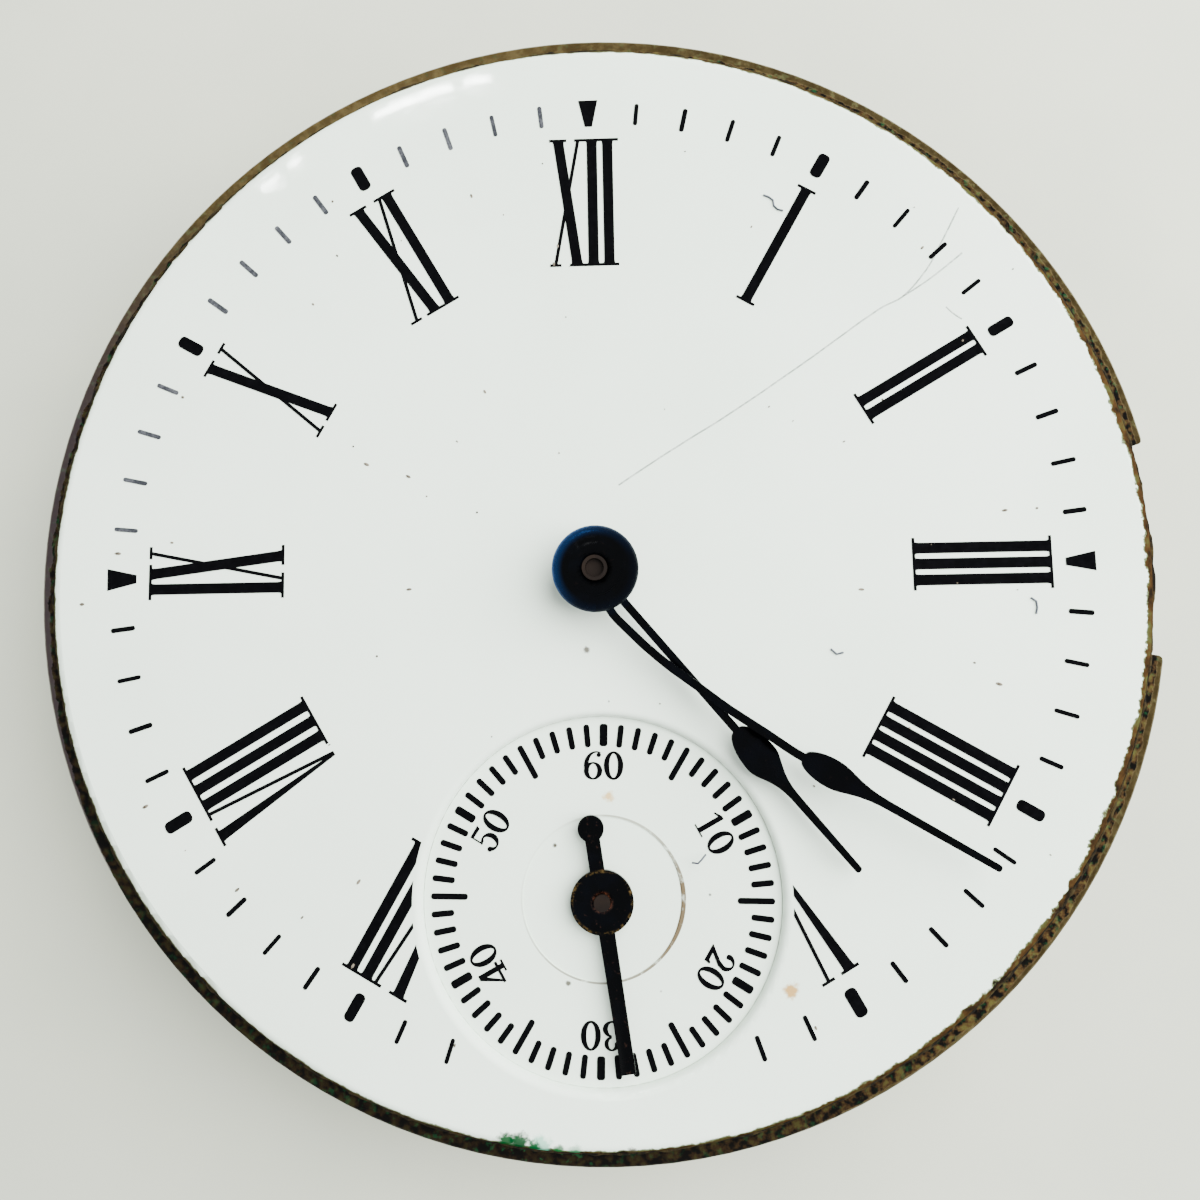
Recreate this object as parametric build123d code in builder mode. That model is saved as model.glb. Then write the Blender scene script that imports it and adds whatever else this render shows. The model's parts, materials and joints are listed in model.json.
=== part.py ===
from build123d import *
import os
from math import atan2, cos, degrees, hypot, pi, radians, sin, sqrt

# A 16-size hunting watch movement, seen from the dial side: enamel dial, hands, plates and works.
# Frame: origin under the hands' axis on the surface that the bridge screws rest on, +Z up through
# the dial, +Y to twelve o'clock, +X to three o'clock and the winding stem. Millimetres.

os.makedirs("parts", exist_ok=True)

# Clearances and small shared sizes
running = 0.03
seat = 0.01
overrun = 0.5
wheel_thickness = 0.25
pivot_radius = 0.14

# Pillar plate and its flange
flange_radius = 21.59
flange_width = 0.69
body_radius = flange_radius - flange_width
plate_thickness = 2.0
flange_drop = 0.4
lip_rise = 0.12
lip_gap = 0.05
notch_from, notch_to = -9.6, 12.1
notch_round = 0.25
flange_edge = 0.08
pillar_radius = 1.3
pillar_insets = (3.68, 2.82, 3.67, 3.62)
pillar_bearings = (115.8, 24.9, -35.1, -113.9)

# Bridge side
bridge_inset = 0.6
bridge_radius = body_radius - bridge_inset
bridge_thickness = 1.5
bridge_edge = 0.2
head_height = 0.45
plate_screw_head = 1.2
plate_screw_shank = 0.55
plate_screw_length = 2.6
screw_slot = 0.28
slot_depth_share = 0.45
small_head_height = 0.15
small_head_radius = 0.4
small_shank_radius = 0.2
small_shank_length = 0.8
case_screw_bearings = (62.0, 222.0)
case_screw_inset = 1.6
case_screw_reach = body_radius - case_screw_inset
case_screw_head = 1.45

# Dial
dial_inset = 0.05
dial_radius = body_radius - dial_inset
enamel_inset = 0.1
enamel_radius = dial_radius - enamel_inset
counter_inset = 0.85
counter_radius = dial_radius - counter_inset
counter_thickness = 0.25
copper_thickness = 0.3
enamel_thickness = 0.5
enamel_fall = 0.38
dial_hole = 1.15
foot_radius = 0.45
foot_drop = 1.7
foot_inset = 2.45
foot_reach = dial_radius - foot_inset
foot_bearings = (35.0, 158.0, 298.0)
foot_screw_radius = 0.34
foot_screw_head = 0.6
foot_screw_head_length = 0.6
foot_screw_depth = 1.1
print_thickness = 0.02

# Minute track and numerals
minute_inset = 2.75
minute_radius = enamel_radius - minute_inset
minute_mark = (0.17, 0.92)
hour_mark = (0.43, 1.05)
quarter_mark = (0.8, 1.08)
quarter_tip = 0.3
mark_corner = 0.06
numeral_height = 5.16
numeral_gap = 0.5
numeral_foot = minute_radius - quarter_mark[1] / 2 - numeral_gap - numeral_height

# Seconds dial
seconds_distance = 12.0
seconds_opening = 6.57
seconds_round = 0.3
seconds_thickness = 0.15
seconds_step_radius = 2.93
seconds_step = 0.03
seconds_post_hole = 0.5
seconds_turn = -1.5
seconds_mark_outer = 6.3
seconds_mark = (0.22, 0.84)
seconds_ten_mark = (0.3, 0.82)
seconds_five_mark = (0.22, 1.36)
seconds_mark_corner = 0.1
digit_height = 1.04
digit_radius = 4.78
digit_pitch = 0.76

# Train: teeth and modules
barrel_teeth, centre_pinion_teeth, barrel_module = 78, 12, 0.22
centre_teeth, third_pinion_teeth, centre_module = 80, 10, 0.17
third_teeth, fourth_pinion_teeth, third_module = 75, 10, 0.155
fourth_teeth, escape_pinion_teeth, fourth_module = 80, 8, 0.14
cannon_teeth, minute_teeth, motion_module = 12, 36, 0.17
minute_pinion_teeth, hour_teeth = 10, 40
setting_teeth, setting_pinion_teeth = 28, 24
barrel_bearing = 60.0
cock_bearing = 100.1
escape_bearing = 134.3
lever_bearing = 136.0
minute_wheel_bearing = -17.1

# Tooth form
wheel_tooth_share = 0.40
pinion_tooth_share = 0.33
wheel_rise_share = 1.15
pinion_rise_share = 0.75
wheel_root_share = 1.2
pinion_root_share = 1.45
tooth_bury_share = 0.4
tooth_waist_share = 0.72
tooth_waist_rise_share = 0.62

# Wheel crossings and arbors
rim_share = 0.88
arm_width = 0.7
hub_radius = 1.3
arbor_radius = 0.35
end_shake = 0.05

# Balance, spring and roller
balance_radius = 7.7
balance_rim = 0.7
balance_rim_height = 0.9
balance_arm_width = 0.9
balance_arm_drop = 0.25
balance_hub = 1.2
balance_screw_count = 14
balance_screw_head = 0.3
balance_screw_reach = 0.5
balance_screw_shank = 0.15
balance_air = 0.3
cock_thickness = 0.7
cock_end_radius = 2.5
cock_foot = (2.3, 8.65, 12.2)
cock_foot_gap = 0.15
spring_air = 0.2
spring_height = 0.2
spring_strip = 0.07
spring_pitch = 0.49
spring_start = 0.95
spring_half_turns = 12
collet_radius = 0.75
stud_radius = 0.35
staff_radius = 0.25
roller_radius = 1.6
roller_thickness = 0.3
roller_jewel_reach = 1.15
roller_jewel_radius = 0.165
roller_turn = 70.0
index_ring = 0.75
index_height = 0.25
index_length = 6.6
index_width = 0.5
curb_pin_radius = 0.12
curb_pin_gap = 0.2
endstone_radius = 1.5

# Escapement
escape_radius = 3.8
escape_teeth = 15
escape_rim = 2.75
escape_rim_width = 0.45
escape_hub = 0.75
escape_tooth_lean = 14.0
escape_tooth_land = 4.0
lever_span = 5.37
stone_gap = 0.26
stone_length = 0.9
stone_width = 0.32
stone_extra = 0.1
lever_width = 0.5
pallet_arm_width = 0.8
stone_block = (0.72, 0.77)
fork_slot = 0.46
fork_reach = 4.75
fork_half = 0.62
pallet_cock_gap = 0.2
pallet_cock_thickness = 0.6
pallet_cock_half = 1.1
pallet_foot_distance = 4.2
pallet_foot_radius = 1.1

# Height gaps in the train
escape_above_cock = 0.6
third_below_escape = 0.3
fourth_below_third = 0.75
centre_above_escape = 0.45
plate_above_centre = 0.3
barrel_above_bridge = 0.2
barrel_tooth_height = 0.5
drum_floor = 0.4
drum_wall = 0.4
drum_below_centre = 0.2
cover_thickness = 0.35
barrel_hub = 1.6
barrel_arbor_radius = 0.75
barrel_square = 1.0
mainspring_strip = 0.16
mainspring_half_turns = 18

# Winding wheels on the bridge
ratchet_teeth, crown_teeth, winding_module = 56, 36, 0.25
winding_thickness = 0.45
wheel_recess = 0.5
recess_gap = 0.2
crown_face_teeth, winding_pinion_teeth = 20, 12
face_tooth_height = 0.45
face_tooth_mesh = 0.25
face_tooth_width = 0.6
crown_boss = 1.5
crown_screw_head = 2.1
ratchet_screw_head = 1.3
click_distance = 9.35
click_bearing = 115.0
click_eye = 0.9
click_tip_gap = 0.1
click_recess = 2.3
click_thickness = 0.35
click_screw_head = 0.7
click_spring_strip = 0.2
click_spring_reach = 1.85

# Stem parts
stem_rise = 1.5
stem_bore = 1.1
stem_boss = 1.45
stem_block_inset = 0.3
stem_block = (17.25, body_radius - stem_block_inset, 2.3)
stem_shoulder_end = 18.15
arbor_shoulder = 1.25
winding_bearing = (10.1, 11.1, 1.0)
winding_pivot = 0.4
winding_square = 0.95
winding_round = 0.65
winding_socket = 0.6
socket_depth = 2.4
pinion_face = (15.6, 16.9)
pinion_hub_start = 15.2
clutch_span = (12.55, 14.8)
clutch_radius = 1.4
clutch_tooth_height = 0.35
clutch_tooth_inner = 0.85
clutch_inner_tooth = 0.3
clutch_teeth = 10
clutch_tooth_width = 0.24
clutch_groove = (13.3, 13.8)
clutch_groove_radius = 1.0
yoke_pivot_y = -5.6
yoke_stud = 0.45
yoke_thickness = 0.3
yoke_arm_width = 0.3
yoke_eye = 0.9
yoke_tip_gap = 0.08

# Motion works and hands
motion_recess = 1.0
motion_air = 0.1
motion_gap = 0.15
stud_pin = 0.3
setting_below = 0.45
setting_arbor = 0.5
centre_pivot = 0.5
centre_tip = 0.32
cannon_pipe = 0.62
cannon_tip = 0.45
hour_pipe = 0.98
hour_hand_rise = 0.6
hand_thickness = 0.16
hour_collet_radius = 1.35
hour_collet_height = 0.4
minute_hand_gap = 0.25
boss_radius = 1.57
boss_height = 0.4
boss_bevel = 0.15
boss_ring = 0.95
boss_ring_height = 0.25
cannon_proud = 0.4
arbor_sunk = 0.2
washer_thickness = 0.05
washer_radius = 2.2
hand_stem = 0.31
hand_tip = 0.25
hour_spade = (7.7, 9.0, 10.9, 14.25, 1.28)
minute_spade = (0, 1.1, 3.4, 7.75, 1.03)
minute_hand_path = ((0.36, -1.1), (0.62, -1.66), (1.03, -2.1), (1.6, -2.67), (2.19, -3.2), (2.82, -3.71),
                    (3.47, -4.18), (4.11, -4.67), (4.76, -5.15), (5.44, -5.6), (6.11, -6.05), (6.78, -6.52),
                    (7.25, -6.81))
minute_hand_tip = (13.93, -10.72)
seconds_hand_lift = 0.35
seconds_hand_hub = 1.15
seconds_hand_length = 5.97
seconds_hand_tail = 3.1
seconds_hand_tail_end = 0.48
seconds_hand_widths = (0.6, 0.52)
seconds_hand_neck = 0.54
seconds_hand_pipe = 0.45
seconds_post = 0.3
seconds_post_proud = 0.12

# Where the straight hands point, in degrees clockwise from twelve o'clock
hour_hand_at = 139.8
seconds_hand_at = 171.9

# Jewels
jewel_radius = 0.75
jewel_thickness = 0.5
setting_radius = 1.0
setting_screw_reach = 1.4
plate_jewel_radius = 0.8


def polar(distance, bearing, around=(0, 0)):
    """Point at a distance and a bearing, in degrees from +X towards +Y, from another point."""
    return (around[0] + distance * cos(radians(bearing)), around[1] + distance * sin(radians(bearing)))


def apart(a, b):
    """Distance between two points of the plan."""
    return hypot(b[0] - a[0], b[1] - a[1])


def bearing_of(a, b):
    """Bearing from one point of the plan to another, in degrees from +X."""
    return degrees(atan2(b[1] - a[1], b[0] - a[0]))


def meet(a, reach_a, b, reach_b):
    """Point at both distances from two others, to the left of the way from a to b."""
    span = apart(a, b)
    along = (reach_a**2 - reach_b**2 + span**2) / (2 * span)
    return polar(hypot(along, sqrt(reach_a**2 - along**2)), bearing_of(a, b)
                 + degrees(atan2(sqrt(reach_a**2 - along**2), along)), a)


def level(spot, height, turn=0):
    """Level plane over a point of the plan, its x axis turned by some degrees."""
    return Plane(origin=(spot[0], spot[1], height), x_dir=(cos(radians(turn)), sin(radians(turn)), 0),
                 z_dir=(0, 0, 1))


def clock(spot, height, angle):
    """Level plane over a point whose y axis points at a clockwise angle from twelve o'clock."""
    return level(spot, height, -angle)


def post(spot, bottom, top, radius, mode=Mode.ADD):
    """Upright round post, or with Mode.SUBTRACT an upright round hole."""
    with Locations((spot[0], spot[1], bottom)):
        Cylinder(radius, top - bottom, align=(Align.CENTER, Align.CENTER, Align.MIN), mode=mode)


def rod(start, end, height, radius, mode=Mode.ADD):
    """Round rod or hole along X on the stem's line, from one x to another."""
    with Locations(Plane(origin=(start, 0, height), x_dir=(0, 1, 0), z_dir=(1, 0, 0))):
        Cylinder(radius, end - start, align=(Align.CENTER, Align.CENTER, Align.MIN), mode=mode)


def square_rod(start, end, height, side, mode=Mode.ADD):
    """Square rod or hole along X on the stem's line."""
    with Locations((start, 0, height)):
        Box(end - start, side, side, align=(Align.MIN, Align.CENTER, Align.CENTER), mode=mode)


def screw(spot, low, head_radius, head, shank_radius, shank, turn):
    """Cheese-head screw, head down, with a slot across its face."""
    post(spot, low, low + head, head_radius)
    post(spot, low + head, low + head + shank, shank_radius)
    with Locations(Location((spot[0], spot[1], low), (0, 0, turn))):
        Box(3 * head_radius, screw_slot, head * slot_depth_share,
            align=(Align.CENTER, Align.CENTER, Align.MIN), mode=Mode.SUBTRACT)


def tooth_shape(teeth, module, width_share, rise_share, root_share):
    """One tooth along +X: radial flanks and a pointed round top."""
    pitch = teeth * module / 2
    half = pi * module * width_share / 2
    start = pitch - module * (root_share + tooth_bury_share)
    tip = pitch + module * rise_share
    shoulder = (pitch + module * rise_share * tooth_waist_rise_share, half * tooth_waist_share)
    with BuildSketch() as tooth:
        with BuildLine():
            Line((start, -half * start / pitch), (pitch, -half))
            ThreePointArc((pitch, -half), (shoulder[0], -shoulder[1]), (tip, 0))
            ThreePointArc((tip, 0), shoulder, (pitch, half))
            Line((pitch, half), (start, half * start / pitch))
            Line((start, half * start / pitch), (start, -half * start / pitch))
        make_face()
    return tooth.sketch


def gear_shape(teeth, module, leaf=False):
    """Outline of a wheel or, as a leaf, of a pinion."""
    width_share = pinion_tooth_share if leaf else wheel_tooth_share
    rise_share = pinion_rise_share if leaf else wheel_rise_share
    root_share = pinion_root_share if leaf else wheel_root_share
    tooth = tooth_shape(teeth, module, width_share, rise_share, root_share)
    with BuildSketch() as gear:
        Circle(teeth * module / 2 - module * root_share)
        with PolarLocations(0, teeth):
            add(tooth)
    return gear.sketch


def windows(outer, inner, arms, width):
    """The openings between a wheel's arms."""
    with BuildSketch() as openings:
        Circle(outer)
        Circle(inner, mode=Mode.SUBTRACT)
        with PolarLocations(0, arms):
            Rectangle(outer + overrun, width, align=(Align.MIN, Align.CENTER), mode=Mode.SUBTRACT)
    return openings.sketch


def spiral_shape(start, pitch, half_turns, strip):
    """A flat coiled strip of half-turn arcs about two centres."""
    def turn_points(offset):
        """Ends and middles of the half turns, from the inner end."""
        points = []
        for i in range(half_turns):
            centre = (i % 2) * pitch / 2
            radius = start + offset + i * pitch / 2
            side = -1 if i % 2 else 1
            points.append(((centre + side * radius, 0), (centre, side * radius), (centre - side * radius, 0)))
        return points

    inner, outer = turn_points(0), turn_points(strip)
    with BuildSketch() as coil:
        with BuildLine():
            for arc in inner + outer:
                ThreePointArc(*arc)
            Line(inner[0][0], outer[0][0])
            Line(inner[-1][2], outer[-1][2])
        make_face()
    return coil.sketch


def least_gap(start, pitch, half_turns, strip):
    """Least free space between neighbouring turns, measured on points along the coil."""
    def radius_at(turn_degrees):
        """Distance of the coil's inner face from the first centre at a total turn."""
        half = int(turn_degrees // 180)
        side = (half % 2) * pitch / 2
        radius = start + half * pitch / 2
        angle = radians(turn_degrees)
        return side * cos(angle) + sqrt(radius**2 - (side * sin(angle)) ** 2)

    places = range(0, 180 * half_turns - 360, 5)
    return min(radius_at(place + 360) - radius_at(place) - strip for place in places)


def meshed_turn(teeth_a, turn_a, bearing, teeth_b):
    """Turn of wheel b that puts its gap on wheel a's tooth, on the line of centres."""
    return bearing + 180 + 180 / teeth_b + (bearing - turn_a) * teeth_a / teeth_b


def save(part, name):
    """Names a finished piece and writes it."""
    part.part.label = name
    export_step(part.part, f"parts/{name}.step")


# Heights, from the resting surface up to the hands
bridge_low = head_height
bridge_top = bridge_low + bridge_thickness
cock_top = bridge_low + cock_thickness
hairspring_low = cock_top + spring_air
balance_low = hairspring_low + spring_height + spring_air
balance_top = balance_low + balance_rim_height
pallet_cock_low = balance_top + pallet_cock_gap
pallet_cock_top = pallet_cock_low + pallet_cock_thickness
escape_low = pallet_cock_top + escape_above_cock
third_low = escape_low - third_below_escape - wheel_thickness
fourth_low = third_low - fourth_below_third - wheel_thickness
centre_low = escape_low + wheel_thickness + centre_above_escape
plate_low = centre_low + wheel_thickness + plate_above_centre
plate_top = plate_low + plate_thickness
flange_low = plate_top - flange_drop
flange_top = plate_top + lip_rise
copper_low = plate_top + counter_thickness
copper_top = copper_low + copper_thickness
dial_top = copper_top + enamel_thickness
seconds_top = copper_top + seconds_thickness
barrel_low = bridge_top + barrel_above_bridge
drum_top = centre_low - drum_below_centre
stem_height = bridge_top + stem_rise
recess_floor = bridge_low + wheel_recess
motion_floor = plate_top - motion_recess
motion_low = motion_floor + motion_air
hour_wheel_low = motion_low + wheel_thickness + motion_gap
hour_hand_low = dial_top + hour_hand_rise
hour_pipe_top = hour_hand_low + hour_collet_height
minute_hand_low = hour_pipe_top + minute_hand_gap
boss_top = minute_hand_low + boss_height
ring_top = boss_top + boss_ring_height
cannon_top = ring_top + cannon_proud
arbor_top = cannon_top - arbor_sunk
seconds_hand_low = seconds_top + seconds_hand_lift

# Plan: each arbor stands where its wheel and pinion meet the ones before
centre_at = (0, 0)
seconds_at = (0, -seconds_distance)
barrel_at = polar((barrel_teeth + centre_pinion_teeth) * barrel_module / 2, barrel_bearing)
third_at = meet(seconds_at, (third_teeth + fourth_pinion_teeth) * third_module / 2,
                centre_at, (centre_teeth + third_pinion_teeth) * centre_module / 2)
third_at = (abs(third_at[0]), third_at[1])
escape_at = polar((fourth_teeth + escape_pinion_teeth) * fourth_module / 2, escape_bearing, seconds_at)
pallet_at = polar(escape_radius / cos(radians(30)), lever_bearing, escape_at)
balance_at = polar(lever_span, lever_bearing, pallet_at)
motion_distance = (cannon_teeth + minute_teeth) * motion_module / 2
hour_module = 2 * motion_distance / (minute_pinion_teeth + hour_teeth)
minute_wheel_at = polar(motion_distance, minute_wheel_bearing)
setting_at = (minute_wheel_at[0] + (minute_teeth + setting_teeth) * motion_module / 2, minute_wheel_at[1])
winding_distance = (ratchet_teeth + crown_teeth) * winding_module / 2
crown_at = (barrel_at[0] + sqrt(winding_distance**2 - barrel_at[1] ** 2), 0)
pillar_spots = [polar(body_radius - inset, bearing) for inset, bearing in zip(pillar_insets, pillar_bearings)]
foot_spots = [polar(foot_reach, bearing) for bearing in foot_bearings]
cock_screw_at = polar((cock_foot[1] + cock_foot[2]) / 2, cock_bearing, balance_at)
spring_outer = spring_start + spring_half_turns * spring_pitch / 2 + spring_strip
stud_at = polar(spring_outer + stud_radius + seat, cock_bearing, balance_at)
yoke_at = (sum(clutch_groove) / 2, yoke_pivot_y)
case_screw_spots = [polar(case_screw_reach, bearing) for bearing in case_screw_bearings]
pallet_foot_at = polar(pallet_foot_distance, lever_bearing + 90, pallet_at)
click_at = polar(click_distance, click_bearing, barrel_at)
ratchet_tip = ratchet_teeth * winding_module / 2 + winding_module * wheel_rise_share
crown_tip = crown_teeth * winding_module / 2 + winding_module * wheel_rise_share
winding_tip = stem_height - (bridge_low + winding_thickness + face_tooth_height - face_tooth_mesh)
winding_pinion_module = 2 * (winding_tip / (winding_pinion_teeth + 2 * pinion_rise_share))
face_radius = crown_face_teeth * winding_pinion_module / 2
balance_tip = balance_radius + balance_screw_reach
bridge_cut = balance_tip + balance_air

# Turns that leave every pair of wheels in mesh
centre_turn = 0
third_bearing = bearing_of(centre_at, third_at)
third_turn = meshed_turn(centre_teeth, centre_turn, third_bearing, third_pinion_teeth)
fourth_turn = meshed_turn(third_teeth, third_turn, bearing_of(third_at, seconds_at), fourth_pinion_teeth)
escape_turn = meshed_turn(fourth_teeth, fourth_turn, bearing_of(seconds_at, escape_at), escape_pinion_teeth)
barrel_turn = meshed_turn(centre_pinion_teeth, centre_turn, barrel_bearing, barrel_teeth)
minute_wheel_turn = meshed_turn(cannon_teeth, centre_turn, minute_wheel_bearing, minute_teeth)
hour_wheel_turn = meshed_turn(minute_pinion_teeth, minute_wheel_turn, minute_wheel_bearing + 180, hour_teeth)
setting_turn = meshed_turn(minute_teeth, minute_wheel_turn, 0, setting_teeth)
crown_turn = meshed_turn(ratchet_teeth, 0, bearing_of(barrel_at, crown_at), crown_teeth)

bridge_jewel_spots = {"third": third_at, "fourth": seconds_at, "escape": escape_at, "centre": centre_at}
setting_screw_turns = {"third": 20, "fourth": 0, "escape": 46, "centre": 150}
small_screw_spots = [
    polar(setting_screw_reach, turn + side, bridge_jewel_spots[name])
    for name, turn in setting_screw_turns.items()
    for side in (0, 180)
]

# Pillar plate: disc, case flange, lip round the dial, pillars and the stem's bearing block
with BuildPart() as pillar_plate:
    post(centre_at, plate_low, plate_top, body_radius)
    post(centre_at, flange_low, flange_top, flange_radius)
    post(centre_at, plate_top, flange_top + overrun, body_radius + lip_gap, Mode.SUBTRACT)
    rims = pillar_plate.edges().filter_by(GeomType.CIRCLE).filter_by(
        lambda edge: abs(edge.radius - flange_radius) < flange_edge)
    chamfer(rims, flange_edge)
    with BuildSketch(Plane.XY.offset(flange_low)):
        with BuildLine():
            Polyline(centre_at, polar(2 * body_radius, notch_from), polar(2 * body_radius, notch_to),
                     close=True)
        make_face()
        Circle(body_radius, mode=Mode.SUBTRACT)
    extrude(amount=flange_top - flange_low + overrun, mode=Mode.SUBTRACT)
    notch_corners = pillar_plate.edges().filter_by(Axis.Z).filter_by(
        lambda edge: hypot(edge.center().X, edge.center().Y) > flange_radius - flange_edge)
    fillet(notch_corners, notch_round)
    for spot in pillar_spots:
        post(spot, bridge_top, plate_low + seat, pillar_radius)
        post(spot, bridge_top, bridge_top + plate_screw_length, plate_screw_shank + seat, Mode.SUBTRACT)
    with BuildSketch(Plane.XY.offset(bridge_top + end_shake)):
        with Locations(((stem_block[0] + stem_block[1]) / 2, 0)):
            Rectangle(stem_block[1] - stem_block[0], 2 * stem_block[2])
        Circle(body_radius - bridge_edge, mode=Mode.INTERSECT)
    extrude(amount=plate_low + seat - bridge_top - end_shake)
    rod(stem_block[1] - stem_bore, flange_radius, stem_height, stem_boss)
    rod(stem_block[0] - overrun, stem_shoulder_end, stem_height, arbor_shoulder + running, Mode.SUBTRACT)
    rod(stem_shoulder_end, flange_radius + overrun, stem_height, stem_bore, Mode.SUBTRACT)
    with Locations(((pinion_face[0] + pinion_face[1]) / 2, 0, plate_low)):
        Box(pinion_face[1] - pinion_face[0] + 2 * recess_gap, 2 * winding_tip * sin(radians(45)) + recess_gap,
            2 * (stem_height + winding_tip + recess_gap - plate_low), mode=Mode.SUBTRACT)
    post(yoke_at, stem_height - yoke_thickness, plate_low + seat, yoke_stud)
    post(centre_at, motion_floor, plate_top + overrun, hour_teeth * hour_module / 2 + 2 * recess_gap
         + hour_module, Mode.SUBTRACT)
    post(minute_wheel_at, motion_floor, plate_top + overrun,
         minute_teeth * motion_module / 2 + 2 * recess_gap + motion_module, Mode.SUBTRACT)
    post(setting_at, motion_floor, plate_top + overrun,
         setting_teeth * motion_module / 2 + 2 * recess_gap + motion_module, Mode.SUBTRACT)
    post(minute_wheel_at, motion_floor - seat, plate_top - motion_gap, stud_pin)
    post(setting_at, plate_low - overrun, motion_floor + overrun, setting_arbor + running, Mode.SUBTRACT)
    post(centre_at, plate_low - overrun, motion_floor + overrun, centre_pivot + running, Mode.SUBTRACT)
    post(barrel_at, plate_low - overrun, plate_top + overrun, centre_pivot + running, Mode.SUBTRACT)
    for spot in (third_at, seconds_at, escape_at, pallet_at, balance_at):
        post(spot, plate_low - overrun, plate_top + overrun, plate_jewel_radius + seat, Mode.SUBTRACT)
    for spot, bearing in zip(foot_spots, foot_bearings):
        post(spot, plate_low - overrun, plate_top + overrun, foot_radius + running, Mode.SUBTRACT)
        way = Plane(origin=(*spot, (plate_low + flange_low) / 2), x_dir=(0, 0, 1),
                    z_dir=(cos(radians(bearing)), sin(radians(bearing)), 0))
        with Locations(way):
            Cylinder(foot_screw_radius + running, body_radius, align=(Align.CENTER, Align.CENTER, Align.MIN),
                     mode=Mode.SUBTRACT)
        with Locations(way.offset(foot_radius + foot_screw_depth)):
            Cylinder(foot_screw_head + running, body_radius, align=(Align.CENTER, Align.CENTER, Align.MIN),
                     mode=Mode.SUBTRACT)
    post(cock_screw_at, plate_low - overrun, plate_top - motion_gap, plate_screw_shank + seat, Mode.SUBTRACT)
    post(pallet_foot_at, plate_low - overrun, plate_low + plate_thickness / 2,
         small_shank_radius + seat, Mode.SUBTRACT)
save(pillar_plate, "pillar_plate")

# Three-quarter plate: cut away round the balance and for its cock, recessed for the winding wheels
with BuildPart() as three_quarter_plate:
    post(centre_at, bridge_low, bridge_top, bridge_radius)
    low_rim = three_quarter_plate.edges().filter_by(GeomType.CIRCLE).sort_by(Axis.Z)[0]
    chamfer(low_rim, bridge_edge)
    post(balance_at, bridge_low - overrun, bridge_top + overrun, bridge_cut, Mode.SUBTRACT)
    with BuildSketch(level(balance_at, bridge_low - overrun, cock_bearing)):
        Rectangle(2 * bridge_radius, 2 * (cock_foot[0] + cock_foot_gap), align=(Align.MIN, Align.CENTER))
    extrude(amount=bridge_thickness + 2 * overrun, mode=Mode.SUBTRACT)
    with BuildSketch(level(balance_at, bridge_low - overrun, 180)):
        with Locations((0, bridge_cut * sin(radians(60)))):
            Rectangle(2 * bridge_radius, 2 * bridge_radius, align=(Align.MIN, Align.MAX))
    extrude(amount=bridge_thickness + 2 * overrun, mode=Mode.SUBTRACT)
    for spot in pillar_spots + case_screw_spots:
        post(spot, bridge_low - overrun, bridge_top + overrun, plate_screw_shank + seat, Mode.SUBTRACT)
    post(barrel_at, bridge_low - overrun, recess_floor, ratchet_tip + recess_gap, Mode.SUBTRACT)
    post(click_at, bridge_low - overrun, recess_floor, click_recess, Mode.SUBTRACT)
    post(crown_at, bridge_low - overrun, recess_floor, crown_tip + recess_gap, Mode.SUBTRACT)
    with BuildSketch(level(crown_at, recess_floor - seat)):
        Circle(face_radius + face_tooth_width / 2 + recess_gap)
        Circle(face_radius - face_tooth_width / 2 - recess_gap, mode=Mode.SUBTRACT)
    extrude(amount=face_tooth_height + seat + end_shake, mode=Mode.SUBTRACT)
    with Locations(((pinion_face[0] + pinion_face[1]) / 2, 0, bridge_low + winding_thickness)):
        Box(pinion_face[1] - pinion_face[0] + 2 * recess_gap,
            2 * sqrt(winding_tip**2 - stem_rise**2) + 2 * recess_gap, bridge_thickness,
            align=(Align.CENTER, Align.CENTER, Align.MIN), mode=Mode.SUBTRACT)
    post(crown_at, bridge_low, recess_floor + seat, crown_boss - running)
    post(crown_at, bridge_low, bridge_top - end_shake, plate_screw_shank + seat, Mode.SUBTRACT)
    post(barrel_at, recess_floor - overrun, bridge_top + overrun, barrel_arbor_radius + running, Mode.SUBTRACT)
    post(click_at, recess_floor, bridge_top - end_shake, small_shank_radius + seat, Mode.SUBTRACT)
    for spot in bridge_jewel_spots.values():
        post(spot, bridge_low - overrun, bridge_top + overrun, setting_radius + seat, Mode.SUBTRACT)
    for spot in small_screw_spots:
        post(spot, bridge_low, bridge_low + small_shank_length + seat, small_shank_radius + seat, Mode.SUBTRACT)
    with Locations(((winding_bearing[0] + winding_bearing[1]) / 2, 0, bridge_top - seat)):
        Box(winding_bearing[1] - winding_bearing[0], 2 * winding_bearing[2],
            stem_rise + seat + winding_bearing[2], align=(Align.CENTER, Align.CENTER, Align.MIN))
    rod(winding_bearing[0] - overrun, winding_bearing[1] + overrun, stem_height, winding_pivot + running,
        Mode.SUBTRACT)
save(three_quarter_plate, "three_quarter_plate")

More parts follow.
